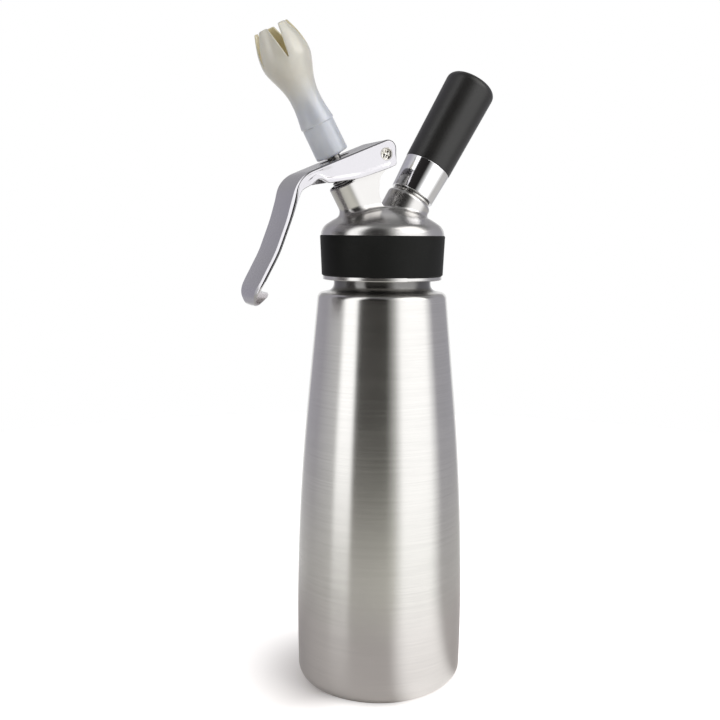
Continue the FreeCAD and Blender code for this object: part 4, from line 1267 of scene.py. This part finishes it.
    def shell(self) -> Surface:
        """Carry the section along both outlines: a channel that turns into a flat strap.

        Half a section runs over the outer face, down the bevelled edge, the side and its raised
        border, round the lower edge, up the hollow and back along its ceiling.
        """
        at = self.paired()
        insets, downs = self.edge(at)
        columns = [*self.face(at, insets, downs), *self.side(at, downs[:, -1:]), *self.hollow(at)]
        half = [
            np.concatenate([spot[:, :1], self.width(spot[:, 1:]) - inset, spot[:, 1:]], axis=1)
            for spot, inset in columns
        ]
        return self.closed_shell(np.stack(half, axis=1), at.sheet[:, 0] < TINY)

    def closed_shell(self, half: np.ndarray, open_rows: np.ndarray) -> Surface:
        """Mirror the half section, and leave the back of the channel open between its walls.

        Args:
            half: (rows, columns, 3) points of the near half of each section.
            open_rows: rows whose plate has no thickness.

        Returns:
            The closed surface, placed about the pivot.
        """
        grid = mirrored(half, np.array([1.0, -1.0, 1.0]))
        (rows, columns), count = grid.shape[:2], half.shape[1]
        faces = grid_faces(rows, columns)
        row, column = np.divmod(faces[:, 0], columns)
        flat = len(self.ceiling_shares)
        on_top = np.minimum(column, columns - 1 - column) < self.plate_columns - 1
        on_ceiling = np.abs(column + 1.5 - count) < flat
        bare = open_rows[row] & open_rows[np.minimum(row + 1, rows - 1)]
        x, z = self.pivot()
        edge = np.zeros((1, count))
        edge[:, self.plate_columns:count - self.wall_columns - self.corner_columns - flat] = 1.0
        mask = np.maximum(mirrored(edge), eased(-grid[:, :, 2], *self.polished_from))
        return Surface(grid.reshape(-1, 3) + np.array([x, 0.0, z]),
                       [faces[~((on_top | on_ceiling) & bare)]], {"polished": mask.ravel()})

    def cutters(self) -> Surface:
        """What is cut out: the stem's slot in the plate and the pin's hole through both walls."""
        pivot, ring = self.pivot(), circle(self.round_sides)
        through = self.half_width + self.hole_reach
        hole = prism(ring * self.pin_hole + pivot, -through, through)
        half, straight = self.slot_width / 2, (self.slot_length - self.slot_width) / 2
        oblong = ring * half + np.sign(ring[:, :1]) * np.array([straight, 0.0])
        top = np.array([corner[:2] for corner in self.top[:2]])
        slope = math.atan2(top[0, 1] - top[1, 1], top[0, 0] - top[1, 0])
        rings = []
        for rise in (-self.slot_reach, self.slot_reach):
            x, z = turned(oblong[:, 0], rise, slope) + (self.slot_middle + pivot)[:, None]
            rings.append(np.stack([x, oblong[:, 1], z], axis=-1))
        faces = [grid_faces(2, self.round_sides), *ring_caps(2, self.round_sides)]
        return Surface.joined([hole, Surface(np.concatenate(rings), faces)])

    def ribs(self) -> Surface:
        """Two ribs under the plate, with round feet that push the stem's collar down."""
        half, low = self.rib_width / 2, self.rib_start
        top = low + self.rib_height
        feet = [(side, low, half - 0.1) for side in (-half, half)]
        outline = [*feet, *((side, top, self.rib_edge) for side in (half, -half))]
        foot = rounded(outline, closed=True, steps=8)
        far = self.half_width - self.wall / 2
        spans = ((-far, -self.rib_inside), (self.rib_inside, far))
        return Surface.joined([prism(foot, *span) for span in spans])

    def build(self) -> None:
        """Make the lever and its ribs, and dress them."""
        material = self.cast.material()
        lever = made_object("lever_casting", self.shell(), sharp=40.0)
        cut_out(lever, made_object("lever_cutters", self.cutters()), sharp=50.0)
        settled(lever, material, "lever", "lever_metal", "lever")
        settled(made_object("lever_ribs", self.ribs(), VALVE), material, "lever", "lever_metal")
        Pin().build()


@dataclass
class Pin:
    """Rolled pin with a grooved and dished head at each side of the lever."""

    shaft: float = 2.6
    head: float = 3.3
    thickness: float = 2.1
    dish: tuple = ((0.0, -1.0), (1.5, -1.2, 0.5), (2.65, -1.1, 0.25), (2.85, 0.0, 0.15))
    rim_edge: float = 0.3
    back_edge: float = 0.2
    step: float = 0.3
    segments: int = 72
    lobes: int = 3
    lobe_depth: float = 0.35
    lobe_reach: float = 1.5            # how deep under the rim a point may lie and still be lifted
    lobe_middle: float = 1.3           # radius where the lobes reach their full depth
    lobe_rim: tuple = (1.9, 2.7)       # radii between which they fade out again
    lobe_turn: float = 0.5
    polished: Metal = Metal("polished_pin_steel", (0.60, 0.58, 0.55), 0.13, Grain.CAST, mark_depth=0.001)
    washer: Polymer = Polymer("natural_white_plastic", (0.72, 0.71, 0.67), 0.5, specular=0.4)

    def profile(self, half: float) -> np.ndarray:
        """Outline of half the pin: dish, rolled rim and head, down to the shaft's middle."""
        inner = half - self.thickness
        outline = [
            *((radius, half + rise, *corner) for radius, rise, *corner in self.dish),
            (self.head, half, self.rim_edge),
            (self.head, inner, self.back_edge),
            (self.shaft, inner),
            (self.shaft, 0.0),
        ]
        return rounded(outline, steps=5)

    def build(self) -> None:
        """Make the pin about its own axis, across the lever, with lobes pressed in each dish.

        They lift the dish by lobe_depth cos(lobes a + lobe_turn) at an angle a, and fade at the
        middle and the rim.
        """
        half = Lever.half_width
        near = self.profile(half)
        far = near[::-1][1:] * np.array([1.0, -1.0])
        surface = revolved(refined(np.concatenate([near, far]), self.step), self.segments)
        pivot = Lever.pivot()
        x, y, z = surface.points.T
        radius, turn = np.hypot(x, y), np.arctan2(y, x)
        faded = np.clip(radius / self.lobe_middle, 0, 1) ** 2 * (1 - eased(radius, *self.lobe_rim))
        lobes = faded * np.cos(self.lobes * turn + self.lobe_turn)
        in_dish = np.abs(z) > half - self.lobe_reach
        z = z + np.sign(z) * np.where(in_dish, lobes * self.lobe_depth, 0.0)
        surface.points = np.stack([x + pivot[0], z, pivot[1] - y], axis=-1)
        piece = made_object("pivot_pin", surface, sharp=50.0)
        settled(piece, self.polished.material(), "head", "pin_steel", "lever_pin", "pin_cap")
        kept(self.washer, "pivot_washers")


@dataclass
class Port:
    """Gas port and the holder that screws on it."""

    bright: Metal = Metal("port_steel", (0.66, 0.65, 0.63), 0.2, axis=PORT)
    chrome: Metal = Metal("mirror_chrome", (0.80, 0.80, 0.82), 0.1, axis=PORT, mark_depth=0.0006,
                          unevenness=0.05)
    drawn: Metal = Metal("drawn_charger_steel", (0.58, 0.59, 0.61), 0.3, axis=PORT)
    sleeve: Polymer = Polymer("black_sleeve_plastic", (0.012, 0.0115, 0.011), 0.36, specular=0.5)

    def build(self) -> None:
        """Dress the port, the charger and the holder."""
        kept(self.bright, "port_insert", "piercing_needle", "gas_filter")
        kept(self.drawn, "charger")
        kept(self.chrome, "holder_insert")
        kept(self.sleeve, "holder_sleeve")


@dataclass
class Tip:
    """Tulip-shaped decorator tip with slit petals.

    Heights are counted from the tip's lower end, which sits at its bottom height on the
    valve's axis.
    """

    bottom: float = 61.3
    collar: tuple = ((6.3, 0.0), (8.9, 0.0, 0.9), (8.65, 17.4, 0.2), (9.1, 17.5, 0.3), (9.1, 18.4))
    tulip: tuple = (
        (18.4, 9.1), (28.7, 7.8), (38.2, 8.7), (44.7, 10.9),
        (50.7, 12.9), (55.7, 13.1), (62.2, 11.9), (70.0, 9.2),
    )
    bore: tuple = ((0.0, 6.3), (0.3, 6.05), (13.15, 6.05), (13.2, 4.6), (13.9, 4.2), (18.4, 7.1))
    wall: float = 2.0
    mouth_wall: float = 1.3
    petals: int = 5
    first_slit: float = 40.0
    slit_start: float = 53.7
    slit_bottom: float = 0.25
    slit_top: float = 3.0
    rim: float = 0.5
    slit_edge: float = 0.35
    edge_limit: float = 0.45        # share of the wall that one rounded edge may take
    thinned: tuple = (40.0, 70.0)   # heights between which the wall thins to the mouth's
    row_step: float = 0.9
    slit_rows: tuple = (0.0, 0.06, 0.16, 0.3, 0.5)
    petal_step: float = 0.8
    row_gaps: tuple = (0.6, 0.3, 1.1, 0.2)   # past the collar, round the slit's start, under the rim
    across: int = 14
    # The bluish lower colour is painted shade on the collar and neck.
    pearl: PearlPlastic = PearlPlastic("pearl_white_plastic", (0.62, 0.65, 0.71), 0.3,
                                       (0.69, 0.675, 0.61), (0.79, 0.72, 0.52), VALVE, (84.0, 106.0))

    def stations(self) -> dict[str, np.ndarray]:
        """Outer and inner radius, height and half width of the slit at each row.

        The rows follow the outer outline and end with a quarter turn round the rim, over
        which the wall draws in by rim (1 - cos t) while its height rises by rim sin t.

        Returns:
            Arrays for outer and inner radius, height, slit and edge radius.
        """
        low, bore = refined(rounded(self.collar, steps=5), self.row_step), np.array(self.bore)
        steps = bore[2:5, 0]
        stepped = np.stack([np.interp(steps, low[:, 1], low[:, 0]), steps], axis=-1)
        low = np.insert(low, np.searchsorted(low[:, 1], steps), stepped, axis=0)
        places, radii = np.array(self.tulip).T
        start, top, gaps = self.slit_start, places[-1], self.row_gaps
        rise = np.concatenate([
            np.arange(places[0] + gaps[0], start - gaps[1], self.row_step),
            start + np.array(self.slit_rows),
            np.arange(start + gaps[2], top - self.rim - gaps[3], self.petal_step),
        ])
        down, back = quarter(5).T
        height = np.concatenate([low[:, 1], rise, top - self.rim * down])
        drawn = np.append(np.zeros(len(low) + len(rise)), self.rim * back)
        outer = smooth_curve(places, radii, np.maximum(height, places[0]))
        outer[:len(low)] = low[:, 0]
        wall = self.wall + (self.mouth_wall - self.wall) * eased(height, *self.thinned)
        inner = np.where(height > places[0], outer - wall, np.interp(height, bore[:, 0], bore[:, 1]))
        above = np.maximum(height - start, 0)
        slit = self.slit_bottom + (self.slit_top - self.slit_bottom) * above / (top - start)
        round_end = np.clip(above / self.slit_bottom, 0, 1)
        slit = slit * np.sqrt(1 - (1 - round_end) ** 2)
        edge = self.slit_edge * eased(above, 0.0, 1.0)
        return {"outer": outer - drawn, "inner": inner + drawn, "height": height, "slit": slit + drawn,
                "edge": edge}

    def sections(self, rows: dict[str, np.ndarray]) -> tuple[np.ndarray, np.ndarray, np.ndarray]:
        """Half of a petal's section at each row.

        It runs along the outer arc, round the slit's edge, down its flat side and back along the
        inner arc. A point of the side lies a distance d from the slit's middle plane and r from
        the axis, so its angle is half a petal's less asin(d / r). Where petals are joined, the
        side is drawn together on the outer face.

        Args:
            rows: what stations gives.

        Returns:
            Radii, angles and a mask that is 1 on the slit's side and on the inside.
        """
        outer, inner, slit, edge = (rows[k][:, None] for k in ("outer", "inner", "slit", "edge"))
        edge = np.minimum(edge, self.edge_limit * (outer - inner))
        half = math.pi / self.petals
        down, back = quarter(5).T
        share = np.linspace(0, 1, self.across)
        out_end, in_end = (half - np.arcsin((slit + edge) / wall) for wall in (outer, inner))
        out_arc, in_arc = (np.repeat(wall, self.across, axis=1) for wall in (outer, inner))
        out_round, in_round = (outer - edge * back)[:, 1:], (inner + edge * back)[:, :0:-1]
        radius = np.concatenate([out_arc, out_round, (outer + inner) / 2, in_round, in_arc], axis=1)
        away = slit + edge * down
        away = np.concatenate([away[:, 1:], slit, away[:, :0:-1]], axis=1)
        side = slice(self.across, -self.across)
        side_angle = half - np.arcsin(away / radius[:, side])
        angle = np.concatenate([out_end * share, side_angle, in_end * share[::-1]], axis=1)
        mask = np.ones(radius.shape)
        mask[:, :self.across + 2] = 0.0
        joined = (slit[:, 0] <= 0) & (np.append(slit[1:, 0], 1.0) <= 0)
        radius[joined, side], mask[joined, side] = outer[joined], 0.0
        return radius, angle, mask

    def petal(self) -> Surface:
        """One petal and its share of the collar: sections from the tip's lower end to its rim.

        A point at radius r, angle a and height z is (r cos a, r sin a, z), and each half section
        has its mirror image at -a. The sides are left open where petals are joined.
        """
        rows = self.stations()
        radius, angle, mask = self.sections(rows)
        count = radius.shape[1]
        radius, angle = mirrored(radius), mirrored(angle, -1.0)
        columns = radius.shape[1]
        height = np.repeat(rows["height"][:, None], columns, axis=1) + self.bottom
        grid = np.stack([radius * np.cos(angle), radius * np.sin(angle), height], axis=-1)
        faces = grid_faces(len(grid), columns)
        row, column = np.divmod(faces[:, 0], columns)
        column = np.minimum(column, columns - 1 - column)
        on_side = (column >= self.across - 1) & (column < count - self.across)
        slit = rows["slit"]
        closed = (slit[row] <= 0) & (slit[np.minimum(row + 1, len(grid) - 1)] <= 0)
        near = np.arange(self.across - 1)
        end = np.stack([near, count - 1 - near, count - 2 - near, near + 1], axis=-1)
        top = (len(grid) - 1) * columns + np.arange(columns)
        faces = [faces[~(on_side & closed)], end, (-end) % columns, top[None]]
        return Surface(grid.reshape(-1, 3), faces, {"petal_edge": mirrored(mask).ravel()})

    def shell(self) -> Surface:
        """All petals about the axis: each is turned by its share of a full turn."""
        petal = self.petal()
        x, y, z = petal.points.T
        made = []
        for place in range(self.petals):
            turn = math.radians(self.first_slit) + (place + 0.5) * FULL_TURN / self.petals
            made.append(Surface(np.stack([*turned(x, y, turn), z], axis=-1), petal.faces, petal.masks))
        return Surface.joined(made)

    def build(self) -> None:
        """Make the tip and dress it."""
        piece = made_object("tulip_tip", self.shell(), VALVE, sharp=40.0)
        settled(piece, self.pearl.material(), "tip", "tip_plastic", "decorator_tip")


# ================================================================ studio
UP = Vector((0, 0, 1))
WHITE: Color = (1.0, 1.0, 1.0)
LILAC: Color = (0.98, 0.96, 1.06)
BLUISH: Color = (0.98, 0.97, 1.05)
DUSKY: Color = (1.05, 0.96, 0.94)
STRAW: Color = (1.0, 1.0, 0.97)
CREAM: Color = (1.0, 0.98, 0.94)


@dataclass
class Studio:
    """Camera, pale floor and the soft light of a room with light walls and one dark side.

    Lengths are in metres. Angles are degrees about the upright, from the camera's side towards
    its right, and walls holds (angle, brightness, tint). A pair of numbers is where something
    starts and where it is whole: a share of the way up, down or back for the room, a distance
    from the middle or a share of the painted pool's direction for the floor. The floor's glow
    paints a shadow round the foot, a pool of light and a bright patch that only reflections see.
    """

    azimuth: float = 24.0
    pitch: float = 7.5
    roll: float = 0.55
    distance: float = 0.5277
    eye_height: float = 0.2499
    lens: float = 48.25
    sensor: float = 36.0
    clip: tuple = (0.01, 50.0)
    shift: float = -0.0297
    walls: tuple = (
        (-180.0, 1.0, WHITE), (-162.0, 1.0, WHITE), (-150.0, 0.47, LILAC), (-112.0, 0.45, LILAC),
        (-72.0, 0.75, WHITE), (-65.0, 1.75, WHITE), (-44.0, 1.75, WHITE), (-39.0, 0.03, DUSKY),
        (9.0, 0.015, DUSKY), (22.0, 0.6, STRAW), (33.0, 1.6, WHITE), (78.0, 1.6, WHITE),
        (97.0, 0.48, BLUISH), (150.0, 0.46, BLUISH), (162.0, 1.0, WHITE), (180.0, 1.0, WHITE),
    )
    low_walls: tuple = (
        (-180.0, 0.8, WHITE), (-112.0, 0.55, (1.0, 0.98, 0.92)), (-60.0, 0.6, (1.0, 0.98, 0.9)),
        (-30.0, 0.82, (1.0, 0.985, 0.9)), (18.0, 0.92, (1.0, 0.99, 0.89)), (34.0, 1.35, STRAW),
        (74.0, 1.35, STRAW), (95.0, 0.6, CREAM), (150.0, 0.6, CREAM), (180.0, 0.8, WHITE),
    )
    low_start: tuple = (0.12, 0.32)
    high_start: tuple = (0.14, 0.28)
    back_start: tuple = (0.55, 0.8)
    high_back: tuple = (0.42, 0.415, 0.43)
    backdrop: tuple = (0.86, 0.93)
    ceiling: float = 0.24
    ceiling_start: tuple = (0.72, 0.92)
    ceiling_tilt: float = 0.36
    lamp_turn: float = 68.0
    lamp_height: float = 45.0
    lamp_distance: float = 1.3
    lamp_size: float = 1.0
    lamp_power: float = 5.5
    lamp_color: tuple = (1.0, 0.985, 0.96)
    lamp_aim: float = 0.2
    floor_radius: float = 0.8
    floor_sides: int = 128
    floor_color: tuple = (0.87, 0.825, 0.8)
    floor_glow: float = 0.1
    # Painted shadow round the dispenser's foot and a painted pool of light towards the lamp.
    painted_shadow_reach: tuple = (0.034, 0.088)
    glow_past_painted_shadow: float = 0.58
    painted_pool_turn: float = 50.0
    pool: tuple = (-0.25, 0.45)
    painted_pool_glow: float = 0.46
    # Painted reflection: a glow on the lamp's side of the floor that only glossy rays see.
    painted_reflection_side: tuple = (0.75, 0.97)
    painted_reflection_glow: float = 0.6
    mirrored_edge: tuple = (0.12, 0.24)

    def _axes(self) -> tuple[Vector, Vector]:
        """Level directions from the camera to the dispenser and to the camera's right."""
        turn = math.radians(self.azimuth)
        return Vector((math.sin(turn), math.cos(turn), 0)), Vector((math.cos(turn), -math.sin(turn), 0))

    def _level(self, degrees: float) -> Vector:
        """Level direction at an angle from the camera's side towards its right."""
        (ahead, right), turn = self._axes(), math.radians(degrees)
        return right * math.sin(turn) - ahead * math.cos(turn)

    def camera(self) -> None:
        """Place the camera in front of the lever's near side."""
        ahead, right = self._axes()
        pitch, roll = math.radians(self.pitch), math.radians(self.roll)
        forward = ahead * math.cos(pitch) - UP * math.sin(pitch)
        up = right.cross(forward)
        side = right * math.cos(roll) + up * math.sin(roll)
        top = up * math.cos(roll) - right * math.sin(roll)
        data = bpy.data.cameras.new("camera")
        data.lens, data.sensor_width, data.shift_x = self.lens, self.sensor, self.shift
        data.clip_start, data.clip_end = self.clip
        camera = placed("camera", data)
        eye = Matrix.Translation(UP * self.eye_height - self.distance * ahead)
        camera.matrix_world = eye @ Matrix((side, top, -forward)).transposed().to_4x4()
        bpy.context.scene.camera = camera

    def world(self) -> None:
        """Light the room from all round: ramps over the angle about the upright, high and low.

        The camera sees plain white, and so do what shines through a piece and the reflections
        that end on the backdrop. Everything else sees the room.
        """
        world = bpy.data.worlds.new("studio")
        bpy.context.scene.world = world
        tree = Tree(world)
        ahead, right = self._axes()
        toward = tree.out("ShaderNodeTexCoord", result="Generated")
        back = tree.vector_math("DOT_PRODUCT", toward, -ahead, result="Value")
        side = tree.vector_math("DOT_PRODUCT", toward, right, result="Value")
        height = tree.out("ShaderNodeSeparateXYZ", None, {0: toward}, "Z")
        high = height.above(*self.high_start)
        turn = tree.math("ARCTAN2", side, back) / FULL_TURN + 0.5
        ramps = []
        for walls in (self.walls, self.low_walls):
            stops = [((angle + 180.0) / 360.0, scaled(tint, level)) for angle, level, tint in walls]
            ramps.append(tree.out("ShaderNodeValToRGB", {"stops": stops}, {"Fac": turn}))
        wall = tree.color_mix((-height).above(*self.low_start), *ramps)
        wall = tree.color_mix((-back).above(*self.back_start) * high, wall, self.high_back)
        top = (height + side * self.ceiling_tilt).above(*self.ceiling_start)
        room = tree.color_mix(top, wall, (self.ceiling,) * 3)
        light, white = (
            tree.out("ShaderNodeBackground", None, {"Color": color, "Strength": 1.0})
            for color in (room, (*WHITE, 1.0))
        )
        camera, through, glossy = (tree.rays(kind) for kind in ("Camera", "Transmission", "Glossy"))
        backdrop = (-back).above(*self.backdrop) * (1.0 - high)
        plain = tree.math("MINIMUM", camera + through + glossy * backdrop, 1.0)
        shown = tree.out("ShaderNodeMixShader", None, {0: plain, 1: light, 2: white})
        tree.node("ShaderNodeOutputWorld", None, {"Surface": shown})

    def lamp(self) -> None:
        """Hang a large square lamp to the right of the camera, turned to the dispenser."""
        height = math.radians(self.lamp_height)
        toward = self._level(self.lamp_turn) * math.cos(height) + UP * math.sin(height)
        data = bpy.data.lights.new("soft_lamp", "AREA")
        data.energy, data.size, data.color = self.lamp_power, self.lamp_size, self.lamp_color
        lamp = placed("soft_lamp", data)
        middle = Matrix.Translation(UP * self.lamp_aim + toward * self.lamp_distance)
        lamp.matrix_world = middle @ toward.to_track_quat("Z", "Y").to_matrix().to_4x4()

    def floor_material(self) -> bpy.types.Material:
        """Pale paint that glows a little for the camera, with painted shadow and light over its real
        shadow.

        It glows less close to the dispenser, a painted shadow that deepens the real one, and less away
        from the pool of light, which is painted too. Glossy rays see a painted bright patch on the
        lamp's side. Metal reflects only the floor close by, and the room beyond it.
        """
        material = bpy.data.materials.new("pale_floor")
        tree = Tree(material)
        seen, reflected = tree.rays("Camera"), tree.rays("Glossy")
        place = tree.object_place()
        reach = tree.vector_math("LENGTH", place, result="Value")
        outwards = tree.vector_math("NORMALIZE", place)
        toward_painted_pool = tree.vector_math("DOT_PRODUCT", outwards, self._level(self.painted_pool_turn), result="Value")
        # Painted shadow and light: less glow near the dispenser, more towards the lamp.
        glow = reach.above(*self.painted_shadow_reach) * self.glow_past_painted_shadow + toward_painted_pool.above(*self.pool) * self.painted_pool_glow
        light = seen * (glow + self.floor_glow)
        # Painted reflection: glossy rays see the floor glow on the lamp's side.
        light = light + reflected * toward_painted_pool.above(*self.painted_reflection_side) * self.painted_reflection_glow
        paint = tree.out("ShaderNodeBsdfDiffuse", None, {"Color": (*self.floor_color, 1.0)})
        lamp = tree.out("ShaderNodeEmission", None, {"Color": (*WHITE, 1.0), "Strength": light})
        both = tree.out("ShaderNodeAddShader", None, {0: paint, 1: lamp})
        clear = tree.out("ShaderNodeBsdfTransparent")
        beyond = reflected * reach.above(*self.mirrored_edge)
        shown = tree.out("ShaderNodeMixShader", None, {0: beyond, 1: both, 2: clear})
        tree.node("ShaderNodeOutputMaterial", None, {"Surface": shown})
        return material

    def floor(self) -> None:
        """Lay a round floor: its edge is (r cos a, r sin a, 0) at each angle a."""
        edge = np.pad(circle(self.floor_sides) * self.floor_radius, ((0, 0), (0, 1)))
        mesh = bpy.data.meshes.new("floor")
        mesh.from_pydata(edge.tolist(), [], [list(range(self.floor_sides))])
        mesh.materials.append(self.floor_material())
        placed("floor", mesh)

    def build(self) -> None:
        """Make the camera, the light and the floor."""
        self.camera()
        self.world()
        self.lamp()
        self.floor()
        bpy.context.scene.view_settings.view_transform = "Standard"


def main() -> None:
    """Build every sub-assembly in order, then the studio."""
    logging.basicConfig(level=logging.INFO, format="%(name)s: %(message)s")
    for part in (Bottle(), Head(), Valve(), Lever(), Port(), Tip(), Studio()):
        part.build()
        LOG.info("%s is built", type(part).__name__)


if __name__ == "__main__":
    main()
